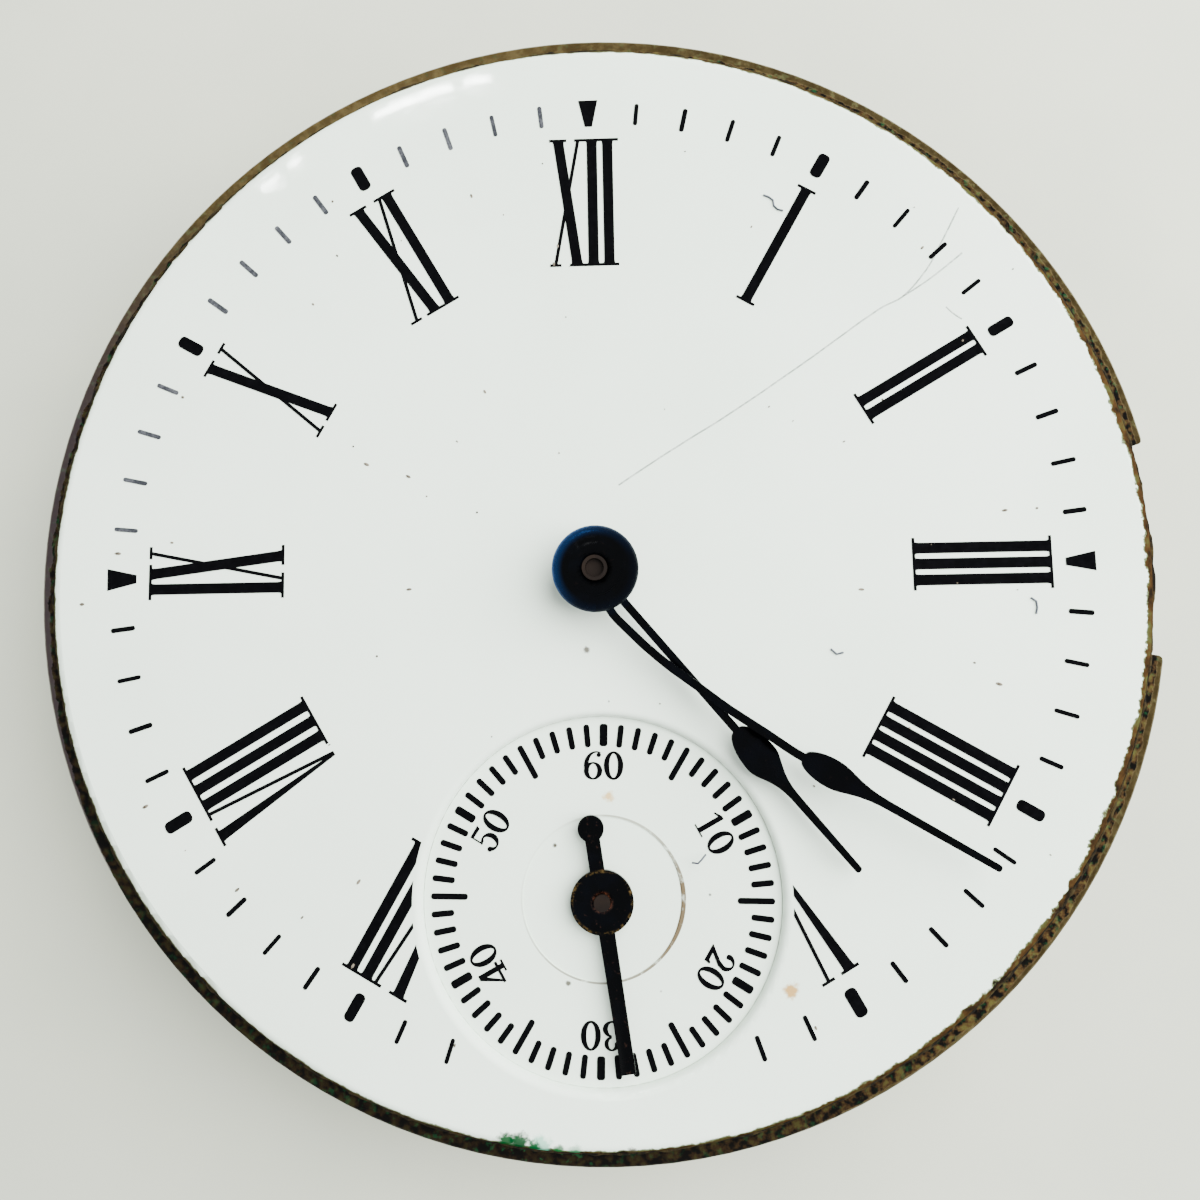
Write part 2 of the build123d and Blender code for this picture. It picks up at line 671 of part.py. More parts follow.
# Balance cock: a foot on the pillar plate and an arm over the balance
with BuildPart() as balance_cock:
    with BuildSketch(level(balance_at, bridge_low, cock_bearing)):
        Circle(cock_end_radius)
        with BuildLine():
            Polyline((0, -cock_end_radius), (cock_foot[1], -cock_foot[0]), (cock_foot[1], cock_foot[0]),
                     (0, cock_end_radius), close=True)
        make_face()
    extrude(amount=cock_thickness)
    with BuildSketch(level(balance_at, bridge_low, cock_bearing)):
        with Locations((cock_foot[1], 0)):
            Rectangle(cock_foot[2] - cock_foot[1], 2 * cock_foot[0], align=(Align.MIN, Align.CENTER))
    extrude(amount=plate_low - bridge_low)
    post(balance_at, bridge_low - overrun, cock_top + overrun, jewel_radius + seat, Mode.SUBTRACT)
    post(cock_screw_at, bridge_low - overrun, plate_low + overrun, plate_screw_shank + seat, Mode.SUBTRACT)
    post(stud_at, bridge_low - overrun, cock_top + overrun, stud_radius + seat, Mode.SUBTRACT)
save(balance_cock, "balance_cock")

# Pallet cock under the balance
with BuildPart() as pallet_cock:
    with BuildSketch(level(pallet_at, pallet_cock_low, lever_bearing + 90)):
        Circle(pallet_cock_half)
        with Locations((pallet_foot_distance / 2, 0)):
            Rectangle(pallet_foot_distance, 2 * pallet_cock_half)
        with Locations((pallet_foot_distance, 0)):
            Circle(pallet_foot_radius)
    extrude(amount=pallet_cock_thickness)
    post(pallet_foot_at, pallet_cock_low, plate_low, pallet_foot_radius)
    post(pallet_at, pallet_cock_low - overrun, plate_low, jewel_radius + seat, Mode.SUBTRACT)
    post(pallet_foot_at, pallet_cock_low - overrun, plate_low + overrun,
         small_shank_radius + seat, Mode.SUBTRACT)
    post(pallet_foot_at, pallet_cock_low - overrun, pallet_cock_low + small_head_height,
         small_head_radius + running, Mode.SUBTRACT)
save(pallet_cock, "pallet_cock")

# Four plate screws into the pillars and one through the cock's foot
with BuildPart() as plate_screws:
    for index, spot in enumerate(pillar_spots):
        screw(spot, 0, plate_screw_head, head_height, plate_screw_shank,
              bridge_thickness + plate_screw_length - seat, 40 * index)
    screw(cock_screw_at, 0, plate_screw_head, head_height, plate_screw_shank,
          plate_top - 2 * motion_gap - bridge_low, 75)
save(plate_screws, "plate_screws")

# Case screws, whose heads lap over the plate's edge
with BuildPart() as case_screws:
    for spot, bearing in zip(case_screw_spots, case_screw_bearings):
        screw(spot, head_height / 2, case_screw_head, head_height / 2, plate_screw_shank,
              bridge_thickness - end_shake, bearing)
save(case_screws, "case_screws")

# Small screws: jewel settings, the click and the pallet cock
with BuildPart() as small_screws:
    for index, spot in enumerate(small_screw_spots):
        screw(spot, bridge_low - small_head_height, small_head_radius, small_head_height,
              small_shank_radius, small_shank_length, 35 * index)
    screw(click_at, bridge_low - small_head_height, click_screw_head, small_head_height,
          small_shank_radius, bridge_thickness - end_shake - seat, 20)
    screw(pallet_foot_at, pallet_cock_low, small_head_radius, small_head_height, small_shank_radius,
          plate_low + plate_thickness / 2 - pallet_cock_low - small_head_height - seat, 10)
save(small_screws, "small_screws")

# Dial: enamel over copper with a counter-enamel back and three feet
with BuildPart() as dial_enamel:
    post(centre_at, copper_top, dial_top, enamel_radius)
    crown_edge = dial_enamel.edges().filter_by(GeomType.CIRCLE).sort_by(Axis.Z)[-1]
    fillet(crown_edge, enamel_fall)
    post(centre_at, copper_top - overrun, dial_top + overrun, dial_hole, Mode.SUBTRACT)
    post(seconds_at, copper_top - overrun, dial_top + overrun, seconds_opening, Mode.SUBTRACT)
    opening_edge = dial_enamel.edges().filter_by(GeomType.CIRCLE).filter_by(
        lambda edge: abs(edge.radius - seconds_opening) < seat).sort_by(Axis.Z)[-1]
    fillet(opening_edge, seconds_round)
save(dial_enamel, "dial_enamel")

with BuildPart() as dial_copper:
    post(centre_at, copper_low, copper_top, dial_radius)
    post(centre_at, copper_low - overrun, copper_top + overrun, dial_hole + seat, Mode.SUBTRACT)
    post(seconds_at, copper_low - overrun, copper_top + overrun, seconds_post_hole, Mode.SUBTRACT)
    for spot in foot_spots:
        post(spot, plate_top - foot_drop, copper_low + seat, foot_radius)
save(dial_copper, "dial_copper")

with BuildPart() as counter_enamel:
    post(centre_at, plate_top, copper_low, counter_radius)
    post(centre_at, plate_top - overrun, copper_low + overrun, dial_hole + seat, Mode.SUBTRACT)
    post(seconds_at, plate_top - overrun, copper_low + overrun, seconds_post_hole, Mode.SUBTRACT)
    for spot in foot_spots:
        post(spot, plate_top - overrun, copper_low + overrun, foot_radius + running, Mode.SUBTRACT)
save(counter_enamel, "counter_enamel")

with BuildPart() as seconds_dial:
    post(seconds_at, copper_top, seconds_top, seconds_opening - seat)
    post(seconds_at, seconds_top - seconds_step, seconds_top + overrun, seconds_step_radius, Mode.SUBTRACT)
    post(seconds_at, copper_top - overrun, seconds_top + overrun, seconds_post_hole, Mode.SUBTRACT)
save(seconds_dial, "seconds_dial")

# Three screws that reach in from the plate's edge to the dial feet
with BuildPart() as dial_foot_screws:
    for spot, bearing in zip(foot_spots, foot_bearings):
        way = Plane(origin=(*spot, (plate_low + flange_low) / 2), x_dir=(0, 0, 1),
                    z_dir=(cos(radians(bearing)), sin(radians(bearing)), 0))
        with Locations(way.offset(foot_radius + seat)):
            Cylinder(foot_screw_radius, foot_screw_depth, align=(Align.CENTER, Align.CENTER, Align.MIN))
        with Locations(way.offset(foot_radius + foot_screw_depth + seat)):
            Cylinder(foot_screw_head, foot_screw_head_length, align=(Align.CENTER, Align.CENTER, Align.MIN))
        with Locations(way.offset(foot_radius + foot_screw_depth + foot_screw_head_length + seat)):
            Box(screw_slot, 3 * foot_screw_head, foot_screw_head_length * slot_depth_share,
                align=(Align.CENTER, Align.CENTER, Align.MAX), mode=Mode.SUBTRACT)
save(dial_foot_screws, "dial_foot_screws")

# Roman numerals. Widths and places are shares of a numeral's height, x across and tops outwards.
thick_share, hair_share, bar_share = 0.078, 0.026, 0.02
flare_share, flare_rise_share, point_share = 0.03, 0.055, 0.02
numeral_shares = {
    12: {"thick": [(-0.097, -0.235, 1), (0.023, 0.023, 1), (0.142, 0.142, 1)], "hair": [(-0.265, -0.08)],
         "top": [(-0.3, -0.17), (-0.11, 0.225)], "foot": [(-0.305, -0.22), (-0.155, 0.215)]},
    1: {"thick": [(0, 0, 1)], "hair": [], "top": [(-0.075, 0.075)], "foot": [(-0.075, 0.075)]},
    2: {"thick": [(-0.057, -0.057, 1), (0.057, 0.057, 1)], "hair": [], "top": [(-0.13, 0.13)],
        "foot": [(-0.13, 0.13)]},
    3: {"thick": [(-0.115, -0.115, 1), (0, 0, 1), (0.115, 0.115, 1)], "hair": [], "top": [(-0.19, 0.19)],
        "foot": [(-0.19, 0.19)]},
    4: {"thick": [(-0.168, -0.168, 1), (-0.056, -0.056, 1), (0.056, 0.056, 1), (0.168, 0.168, 1)], "hair": [],
        "top": [(-0.24, 0.24)], "foot": [(-0.24, 0.24)]},
    5: {"thick": [(0, -0.085, 0)], "hair": [(0.008, 0.088)], "top": [(-0.155, -0.015), (0.04, 0.14)],
        "foot": []},
    7: {"thick": [(-0.135, -0.228, 0), (0.032, 0.032, 1), (0.152, 0.152, 1)], "hair": [(-0.125, -0.042)],
        "top": [(-0.3, -0.158), (-0.09, 0.225)], "foot": [(-0.045, 0.225)]},
    8: {"thick": [(-0.155, -0.243, 0), (0.006, 0.006, 1), (0.127, 0.127, 1), (0.25, 0.25, 1)],
        "hair": [(-0.145, -0.064)], "top": [(-0.315, -0.172), (-0.112, 0.32)], "foot": [(-0.068, 0.32)]},
    9: {"thick": [(-0.078, -0.078, 1), (0.155, 0.031, 1)], "hair": [(-0.015, 0.19)],
        "top": [(-0.155, 0.105), (0.145, 0.235)], "foot": [(-0.155, 0.03), (0.085, 0.232)]},
    10: {"thick": [(0.075, -0.08, 1)], "hair": [(-0.088, 0.095)], "top": [(-0.15, -0.01), (0.052, 0.142)],
         "foot": [(-0.138, -0.04), (0.005, 0.148)]},
    11: {"thick": [(-0.027, -0.145, 1), (0.1, 0.1, 1)], "hair": [(-0.19, 0.045)],
         "top": [(-0.215, -0.072), (-0.005, 0.175)], "foot": [(-0.238, -0.145), (-0.1, 0.175)]},
}


def stroke_shape(foot, top, width, footed, height):
    """A stem from its foot to its top, its ends flared to meet the bars."""
    flare, rise = flare_share * height, flare_rise_share * height
    slope = (top - foot) / height

    def edge_point(side, level_share, spread):
        """A point on one edge of the stem."""
        y = level_share * height
        return (foot + slope * y + side * (width / 2 + spread), y)

    low_share = rise / height if footed else 0
    low_spread = flare if footed else (point_share * height - width) / 2
    with BuildSketch() as stem:
        with BuildLine():
            Line(edge_point(-1, 0, low_spread), edge_point(1, 0, low_spread))
            if footed:
                Bezier(edge_point(1, 0, flare), edge_point(1, 0, 0), edge_point(1, low_share, 0))
            Line(edge_point(1, low_share, 0 if footed else low_spread), edge_point(1, 1 - flare_rise_share, 0))
            Bezier(edge_point(1, 1 - flare_rise_share, 0), edge_point(1, 1, 0), edge_point(1, 1, flare))
            Line(edge_point(1, 1, flare), edge_point(-1, 1, flare))
            Bezier(edge_point(-1, 1, flare), edge_point(-1, 1, 0), edge_point(-1, 1 - flare_rise_share, 0))
            Line(edge_point(-1, 1 - flare_rise_share, 0),
                 edge_point(-1, low_share, 0 if footed else low_spread))
            if footed:
                Bezier(edge_point(-1, low_share, 0), edge_point(-1, 0, 0), edge_point(-1, 0, flare))
        make_face()
    return stem.sketch


def numeral_shape(shares, height):
    """A whole numeral standing on y = 0."""
    stems = [stroke_shape(foot * height, top * height, thick_share * height, footed, height)
             for foot, top, footed in shares["thick"]]
    with BuildSketch() as numeral:
        for stem in stems:
            add(stem)
        for foot, top in shares["hair"]:
            half = hair_share * height / 2
            with BuildLine():
                Polyline((foot * height - half, 0), (foot * height + half, 0), (top * height + half, height),
                         (top * height - half, height), close=True)
            make_face()
        for bars, base in ((shares["top"], height - bar_share * height), (shares["foot"], 0)):
            for start, end in bars:
                with Locations(((start + end) * height / 2, base)):
                    Rectangle((end - start) * height, bar_share * height, align=(Align.CENTER, Align.MIN))
    return numeral.sketch


with BuildPart() as hour_numerals:
    for hour, shares in numeral_shares.items():
        numeral = numeral_shape(shares, numeral_height)
        outwards = clock(polar(numeral_foot, 90 - 30 * hour), dial_top, 30 * hour)
        with BuildSketch(outwards):
            add(numeral)
        extrude(amount=print_thickness)
    post(seconds_at, dial_top - overrun, dial_top + overrun, seconds_opening + seconds_round + mark_corner,
         Mode.SUBTRACT)
save(hour_numerals, "hour_numerals")

with BuildPart() as minute_marks:
    with BuildSketch(Plane.XY.offset(dial_top)):
        for minute in range(60):
            place = Location(polar(minute_radius, 90 - 6 * minute), -6 * minute)
            size = hour_mark if minute % 5 == 0 else minute_mark
            with Locations(place):
                if minute in (0, 15, 45):
                    Polygon((-quarter_mark[0] / 2, quarter_mark[1] / 2),
                            (quarter_mark[0] / 2, quarter_mark[1] / 2),
                            (quarter_tip / 2, -quarter_mark[1] / 2),
                            (-quarter_tip / 2, -quarter_mark[1] / 2), align=None)
                else:
                    RectangleRounded(*size, mark_corner)
        with Locations(seconds_at):
            Circle(seconds_opening + seconds_round + mark_corner, mode=Mode.SUBTRACT)
    extrude(amount=print_thickness)
save(minute_marks, "minute_marks")

# Digits of the seconds dial, as shares of a digit's height: rings (centre, outer radii, inner radii,
# quarters cut away), bars (corner points) and dots (centre, radius).
digit_shares = {
    "0": {"rings": [((0, 0.5), (0.35, 0.5), (0.155, 0.42), [])], "bars": [], "dots": []},
    "1": {"rings": [], "bars": [[(-0.09, 0), (0.09, 0), (0.09, 1), (-0.03, 1), (-0.28, 0.84), (-0.25, 0.79),
                                 (-0.09, 0.87)], [(-0.25, 0), (0.25, 0), (0.25, 0.05), (-0.25, 0.05)]],
          "dots": []},
    "2": {"rings": [((0, 0.7), (0.3, 0.3), (0.14, 0.235), [(-0.4, 0.3, 0.4, 0.7)])],
          "bars": [[(0.3, 0.7), (0.14, 0.7), (0.06, 0.5), (-0.31, 0.02), (-0.14, 0.02), (0.24, 0.5)],
                   [(-0.31, 0), (0.31, 0), (0.34, 0.22), (0.27, 0.22), (0.21, 0.15), (-0.22, 0.13)]],
          "dots": [((-0.2, 0.7), 0.09)]},
    "3": {"rings": [((0, 0.76), (0.26, 0.24), (0.11, 0.18), [(-0.4, 0.4, 0, 0.76)]),
                    ((0, 0.27), (0.32, 0.27), (0.14, 0.21), [(-0.4, 0.27, 0, 0.6)])],
          "bars": [], "dots": [((-0.18, 0.77), 0.08), ((-0.22, 0.25), 0.085)]},
    "4": {"rings": [], "bars": [[(0.02, 0), (0.2, 0), (0.2, 1), (0.02, 1)],
                                [(0.02, 1), (0.2, 1), (-0.3, 0.28), (-0.42, 0.22)],
                                [(-0.42, 0.2), (0.34, 0.2), (0.34, 0.3), (-0.42, 0.3)],
                                [(-0.1, 0), (0.32, 0), (0.32, 0.07), (-0.1, 0.07)]], "dots": []},
    "5": {"rings": [((0, 0.32), (0.32, 0.32), (0.14, 0.25), [(-0.4, 0.18, -0.06, 0.52)])],
          "bars": [[(-0.22, 1), (0.25, 1), (0.2, 0.86), (-0.17, 0.88), (-0.17, 0.5), (-0.22, 0.5)],
                   [(-0.22, 0.5), (-0.06, 0.64), (-0.06, 0.59), (-0.18, 0.5)]],
          "dots": [((-0.21, 0.19), 0.09)]},
    "6": {"rings": [((0, 0.31), (0.33, 0.31), (0.15, 0.245), []),
                    ((0.1, 0.5), (0.43, 0.5), (0.265, 0.44), [(0.1, -0.2, 0.6, 0.95), (-0.5, -0.2, 0.6, 0.31)])],
          "bars": [], "dots": [((0.2, 0.87), 0.08)]},
}


def digit_shape(digit, height):
    """One digit standing on y = 0, its middle on x = 0."""
    shares = digit_shares[digit]
    rings = []
    for middle, outer, inner, cuts in shares["rings"]:
        with BuildSketch() as ring:
            with Locations((middle[0] * height, middle[1] * height)):
                Ellipse(outer[0] * height, outer[1] * height)
                Ellipse(inner[0] * height, inner[1] * height, mode=Mode.SUBTRACT)
            for left, low, right, high in cuts:
                with Locations(((left + right) * height / 2, (low + high) * height / 2)):
                    Rectangle((right - left) * height, (high - low) * height, mode=Mode.SUBTRACT)
        rings.append(ring.sketch)
    with BuildSketch() as shape:
        for ring in rings:
            add(ring)
        for bar in shares["bars"]:
            with BuildLine():
                Polyline(*[(x * height, y * height) for x, y in bar], close=True)
            make_face()
        for middle, radius in shares["dots"]:
            with Locations((middle[0] * height, middle[1] * height)):
                Circle(radius * height)
    return shape.sketch


with BuildPart() as seconds_marks:
    with BuildSketch(level(seconds_at, seconds_top)):
        for second in range(60):
            size = seconds_ten_mark if second % 10 == 0 else seconds_mark
            size = seconds_five_mark if second % 10 == 5 else size
            angle = 90 - 6 * second + seconds_turn
            with Locations(Location(polar(seconds_mark_outer - size[1] / 2, angle), angle - 90)):
                RectangleRounded(*size, seconds_mark_corner)
    extrude(amount=print_thickness)
    for ten in range(1, 7):
        for side, digit in ((-1, str(ten)), (1, "0")):
            shape = digit_shape(digit, digit_height)
            angle = 60 * ten - seconds_turn
            middle = polar(digit_radius - digit_height / 2, 90 - angle, seconds_at)
            spot = polar(side * digit_pitch / 2, -angle, middle)
            with BuildSketch(clock(spot, seconds_top, angle)):
                add(shape)
            extrude(amount=print_thickness)
save(seconds_marks, "seconds_marks")

# Jewels set in the pillar plate, and those of the bridge, the cocks and their settings
plate_jewel_holes = {third_at: pivot_radius, seconds_at: seconds_post, escape_at: pivot_radius,
                     pallet_at: pivot_radius, balance_at: pivot_radius}
with BuildPart() as plate_jewels:
    for spot, hole in plate_jewel_holes.items():
        post(spot, plate_low + end_shake, plate_low + end_shake + jewel_thickness, plate_jewel_radius)
        post(spot, plate_low - overrun, plate_top, hole + running, Mode.SUBTRACT)
save(plate_jewels, "plate_jewels")

with BuildPart() as bridge_jewels:
    for name, spot in bridge_jewel_spots.items():
        hole = centre_tip if name == "centre" else pivot_radius
        post(spot, bridge_top - end_shake - jewel_thickness, bridge_top - end_shake, jewel_radius)
        post(spot, bridge_low, bridge_top + overrun, hole + running, Mode.SUBTRACT)
    post(balance_at, cock_top - jewel_thickness, cock_top, jewel_radius)
    post(balance_at, bridge_low, cock_top + overrun, pivot_radius + running, Mode.SUBTRACT)
    post(pallet_at, pallet_cock_top - jewel_thickness, pallet_cock_top, jewel_radius)
    post(pallet_at, pallet_cock_low, pallet_cock_top + overrun, pivot_radius + running, Mode.SUBTRACT)
save(bridge_jewels, "bridge_jewels")

with BuildPart() as jewel_settings:
    for spot in bridge_jewel_spots.values():
        post(spot, bridge_low, bridge_top - end_shake, setting_radius)
        post(spot, bridge_low - overrun, bridge_top, jewel_radius + seat, Mode.SUBTRACT)
save(jewel_settings, "jewel_settings")

# Endstone cap and regulator on the balance cock
with BuildPart() as endstone_cap:
    post(balance_at, bridge_low - index_height, bridge_low, endstone_radius)
    cap_edge = endstone_cap.edges().filter_by(GeomType.CIRCLE).sort_by(Axis.Z)[0]
    chamfer(cap_edge, index_height / 2)
save(endstone_cap, "endstone_cap")

curb_reach = spring_outer + spring_pitch / 2 + curb_pin_gap
with BuildPart() as regulator:
    with BuildSketch(level(balance_at, bridge_low - index_height, cock_bearing)):
        Circle(endstone_radius + index_ring)
        with Locations((endstone_radius, 0)):
            Rectangle(index_length, index_width, align=(Align.MIN, Align.CENTER))
        with Locations((-endstone_radius, 0)):
            Rectangle(curb_reach + 2 * curb_pin_radius - endstone_radius, 2 * index_width,
                      align=(Align.MAX, Align.CENTER))
        Circle(endstone_radius + running, mode=Mode.SUBTRACT)
    extrude(amount=index_height - end_shake)
    post(polar(curb_reach, cock_bearing + 180, balance_at), bridge_low - index_height,
         hairspring_low + spring_height, curb_pin_radius)
save(regulator, "regulator")

# Hairspring, its stud in the cock, and the mainspring
print("hairspring least gap", round(least_gap(spring_start, spring_pitch, spring_half_turns, spring_strip), 3))
hairspring_shape = spiral_shape(spring_start, spring_pitch, spring_half_turns, spring_strip)
with BuildPart() as hairspring:
    with BuildSketch(level(balance_at, hairspring_low, cock_bearing)):
        add(hairspring_shape)
    extrude(amount=spring_height)
save(hairspring, "hairspring")

with BuildPart() as hairspring_stud:
    post(stud_at, bridge_low + end_shake, hairspring_low + spring_height, stud_radius)
save(hairspring_stud, "hairspring_stud")

drum_radius = barrel_teeth * barrel_module / 2 - barrel_module * wheel_root_share
drum_inner = drum_radius - drum_wall
mainspring_pitch = 2 * (drum_inner - barrel_hub - mainspring_strip - 2 * recess_gap) / mainspring_half_turns
print("mainspring least gap",
      round(least_gap(barrel_hub + recess_gap, mainspring_pitch, mainspring_half_turns, mainspring_strip), 3))
mainspring_shape = spiral_shape(barrel_hub + recess_gap, mainspring_pitch, mainspring_half_turns,
                                mainspring_strip)
with BuildPart() as mainspring:
    with BuildSketch(level(barrel_at, barrel_low + drum_floor + end_shake)):
        add(mainspring_shape)
    extrude(amount=drum_top - cover_thickness - barrel_low - drum_floor - 3 * end_shake)
save(mainspring, "mainspring")

# Going barrel: toothed drum, cover and arbor
barrel_gear = gear_shape(barrel_teeth, barrel_module)
with BuildPart() as barrel_drum:
    with BuildSketch(level(barrel_at, barrel_low, barrel_turn)):
        add(barrel_gear)
    extrude(amount=barrel_tooth_height)
    post(barrel_at, barrel_low, drum_top, drum_radius)
    post(barrel_at, barrel_low + drum_floor, drum_top + overrun, drum_inner, Mode.SUBTRACT)
    post(barrel_at, barrel_low - overrun, drum_top, barrel_arbor_radius + running, Mode.SUBTRACT)
save(barrel_drum, "barrel_drum")

with BuildPart() as barrel_cover:
    post(barrel_at, drum_top - cover_thickness, drum_top, drum_inner - seat)
    post(barrel_at, drum_top - overrun, drum_top + overrun, barrel_arbor_radius + running, Mode.SUBTRACT)
save(barrel_cover, "barrel_cover")

with BuildPart() as barrel_arbor:
    post(barrel_at, recess_floor, drum_top, barrel_arbor_radius)
    post(barrel_at, barrel_low + drum_floor + end_shake, drum_top - cover_thickness - end_shake, barrel_hub)
    post(barrel_at, drum_top - seat, plate_low + plate_thickness / 2, centre_pivot)
    with Locations((*barrel_at, bridge_low + end_shake)):
        Box(barrel_square, barrel_square, wheel_recess, align=(Align.CENTER, Align.CENTER, Align.MIN))
    post(barrel_at, bridge_low, bridge_top, small_shank_radius + seat, Mode.SUBTRACT)
save(barrel_arbor, "barrel_arbor")

# Winding wheels on the bridge's outer face
ratchet_gear = gear_shape(ratchet_teeth, winding_module)
with BuildPart() as ratchet_wheel:
    with BuildSketch(level(barrel_at, bridge_low)):
        add(ratchet_gear)
        Rectangle(barrel_square + 2 * seat, barrel_square + 2 * seat, mode=Mode.SUBTRACT)
    extrude(amount=winding_thickness)
save(ratchet_wheel, "ratchet_wheel")

with BuildPart() as ratchet_screw:
    screw(barrel_at, bridge_low - 2 * small_head_height, ratchet_screw_head, 2 * small_head_height,
          small_shank_radius, bridge_thickness - end_shake, 30)
save(ratchet_screw, "ratchet_screw")

crown_gear = gear_shape(crown_teeth, winding_module)
face_tooth = winding_pinion_module * pi * pinion_tooth_share
with BuildPart() as crown_wheel:
    with BuildSketch(level(crown_at, bridge_low + running, crown_turn)):
        add(crown_gear)
        Circle(crown_boss, mode=Mode.SUBTRACT)
    extrude(amount=winding_thickness - running)
    with BuildSketch(level(crown_at, bridge_low + winding_thickness - seat)):
        with PolarLocations(face_radius, crown_face_teeth, start_angle=180 / crown_face_teeth):
            Rectangle(face_tooth_width, face_tooth)
    extrude(amount=face_tooth_height + seat)
save(crown_wheel, "crown_wheel")

with BuildPart() as crown_screw:
    screw(crown_at, bridge_low - 2 * small_head_height, crown_screw_head, 2 * small_head_height,
          plate_screw_shank, bridge_thickness - 2 * end_shake, 55)
save(crown_screw, "crown_screw")

# Click and its spring beside the ratchet wheel
click_reach = click_distance - ratchet_tip - click_tip_gap
with BuildPart() as click:
    with BuildSketch(level(click_at, recess_floor - click_thickness - end_shake, click_bearing + 180)):
        Circle(click_eye)
        with BuildLine():
            Polyline((0, click_eye), (click_reach, click_eye / 2), (click_reach, click_eye / 4),
                     (click_eye / 2, -click_eye / 2), close=True)
        make_face()
        Circle(small_shank_radius + running, mode=Mode.SUBTRACT)
    extrude(amount=click_thickness)
save(click, "click")

with BuildPart() as click_spring:
    with BuildSketch(level(click_at, recess_floor - click_thickness, click_bearing + 90)):
        Circle(click_spring_reach)
        Circle(click_spring_reach - click_spring_strip, mode=Mode.SUBTRACT)
        Rectangle(2 * click_recess, 2 * click_recess, align=(Align.MAX, Align.CENTER), mode=Mode.SUBTRACT)
    extrude(amount=click_thickness)
save(click_spring, "click_spring")

# Winding pinion, clutch and the arbor they sit on
winding_gear = gear_shape(winding_pinion_teeth, winding_pinion_module, leaf=True)


def crest_shape(turn):
    """Blunt teeth round the end of a clutch piece."""
    with BuildSketch() as crests:
        with PolarLocations((clutch_tooth_inner + clutch_radius) / 2, clutch_teeth, start_angle=turn):
            Rectangle(clutch_radius - clutch_tooth_inner, clutch_tooth_width)
    return crests.sketch


def stem_plane(x):
    """Plane across the stem's line at an x, its own x axis pointing down."""
    return Plane(origin=(x, 0, stem_height), x_dir=(0, 0, -1), z_dir=(1, 0, 0))


pinion_crests = crest_shape(180 / clutch_teeth)
clutch_crests = crest_shape(0)
with BuildPart() as winding_pinion:
    with BuildSketch(stem_plane(pinion_face[0])):
        add(winding_gear)
    extrude(amount=pinion_face[1] - pinion_face[0])
    rod(pinion_hub_start, pinion_face[0] + seat, stem_height, clutch_radius)
    with BuildSketch(stem_plane(pinion_hub_start - clutch_tooth_height)):
        add(pinion_crests)
    extrude(amount=clutch_tooth_height + seat)
    rod(clutch_span[0], pinion_face[1] + overrun, stem_height, winding_round + running, Mode.SUBTRACT)
save(winding_pinion, "winding_pinion")

with BuildPart() as clutch:
    rod(clutch_span[0], clutch_span[1], stem_height, clutch_radius)
    with BuildSketch(stem_plane(clutch_span[1] - seat)):
        add(clutch_crests)
    extrude(amount=clutch_tooth_height + seat)
    with BuildSketch(stem_plane(clutch_span[0] - clutch_inner_tooth)):
        add(clutch_crests)
    extrude(amount=clutch_inner_tooth + seat)
    with BuildSketch(stem_plane(clutch_groove[0])):
        Circle(clutch_radius + overrun)
        Circle(clutch_groove_radius, mode=Mode.SUBTRACT)
    extrude(amount=clutch_groove[1] - clutch_groove[0], mode=Mode.SUBTRACT)
    square_rod(clutch_span[0] - overrun, clutch_span[1] + overrun, stem_height, winding_square + 2 * running,
               Mode.SUBTRACT)
save(clutch, "clutch")

square_end = clutch_span[1] + end_shake
with BuildPart() as winding_arbor:
    rod(winding_bearing[0] + end_shake, winding_bearing[1] + end_shake, stem_height, winding_pivot)
    square_rod(winding_bearing[1] + end_shake - seat, square_end, stem_height, winding_square)
    rod(square_end - seat, stem_block[0], stem_height, winding_round)
    rod(stem_block[0] - end_shake, stem_shoulder_end - end_shake, stem_height, arbor_shoulder)
    square_rod(stem_shoulder_end - socket_depth, stem_shoulder_end, stem_height, winding_socket, Mode.SUBTRACT)
save(winding_arbor, "winding_arbor")

with BuildPart() as yoke:
    post(yoke_at, stem_height - yoke_thickness / 2, stem_height + yoke_thickness / 2, yoke_eye)
    with Locations((*yoke_at, stem_height)):
        Box(yoke_arm_width, -yoke_pivot_y - clutch_groove_radius - yoke_tip_gap, yoke_thickness,
            align=(Align.CENTER, Align.MIN, Align.CENTER))
    post(yoke_at, stem_height - overrun, stem_height + overrun, yoke_stud + running, Mode.SUBTRACT)
save(yoke, "yoke")

# Setting wheel: upper teeth meet the minute wheel, the lower pinion waits for the clutch
setting_gear = gear_shape(setting_teeth, motion_module)
setting_pinion = gear_shape(setting_pinion_teeth, motion_module)
with BuildPart() as setting_wheel:
    with BuildSketch(level(setting_at, motion_low, setting_turn)):
        add(setting_gear)
    extrude(amount=wheel_thickness)
    post(setting_at, plate_low - setting_below, motion_low + seat, setting_arbor)
    with BuildSketch(level(setting_at, plate_low - setting_below - wheel_thickness)):
        add(setting_pinion)
    extrude(amount=wheel_thickness + seat)
save(setting_wheel, "setting_wheel")


def wheel_blank(teeth, module, arms):
    """A crossed-out wheel with its hub."""
    gear = gear_shape(teeth, module)
    rim = rim_share * teeth * module / 2
    openings = windows(rim, hub_radius, arms, arm_width)
    with BuildSketch() as blank:
        add(gear)
        add(openings, mode=Mode.SUBTRACT)
        Circle(arbor_radius + seat, mode=Mode.SUBTRACT)
    return blank.sketch


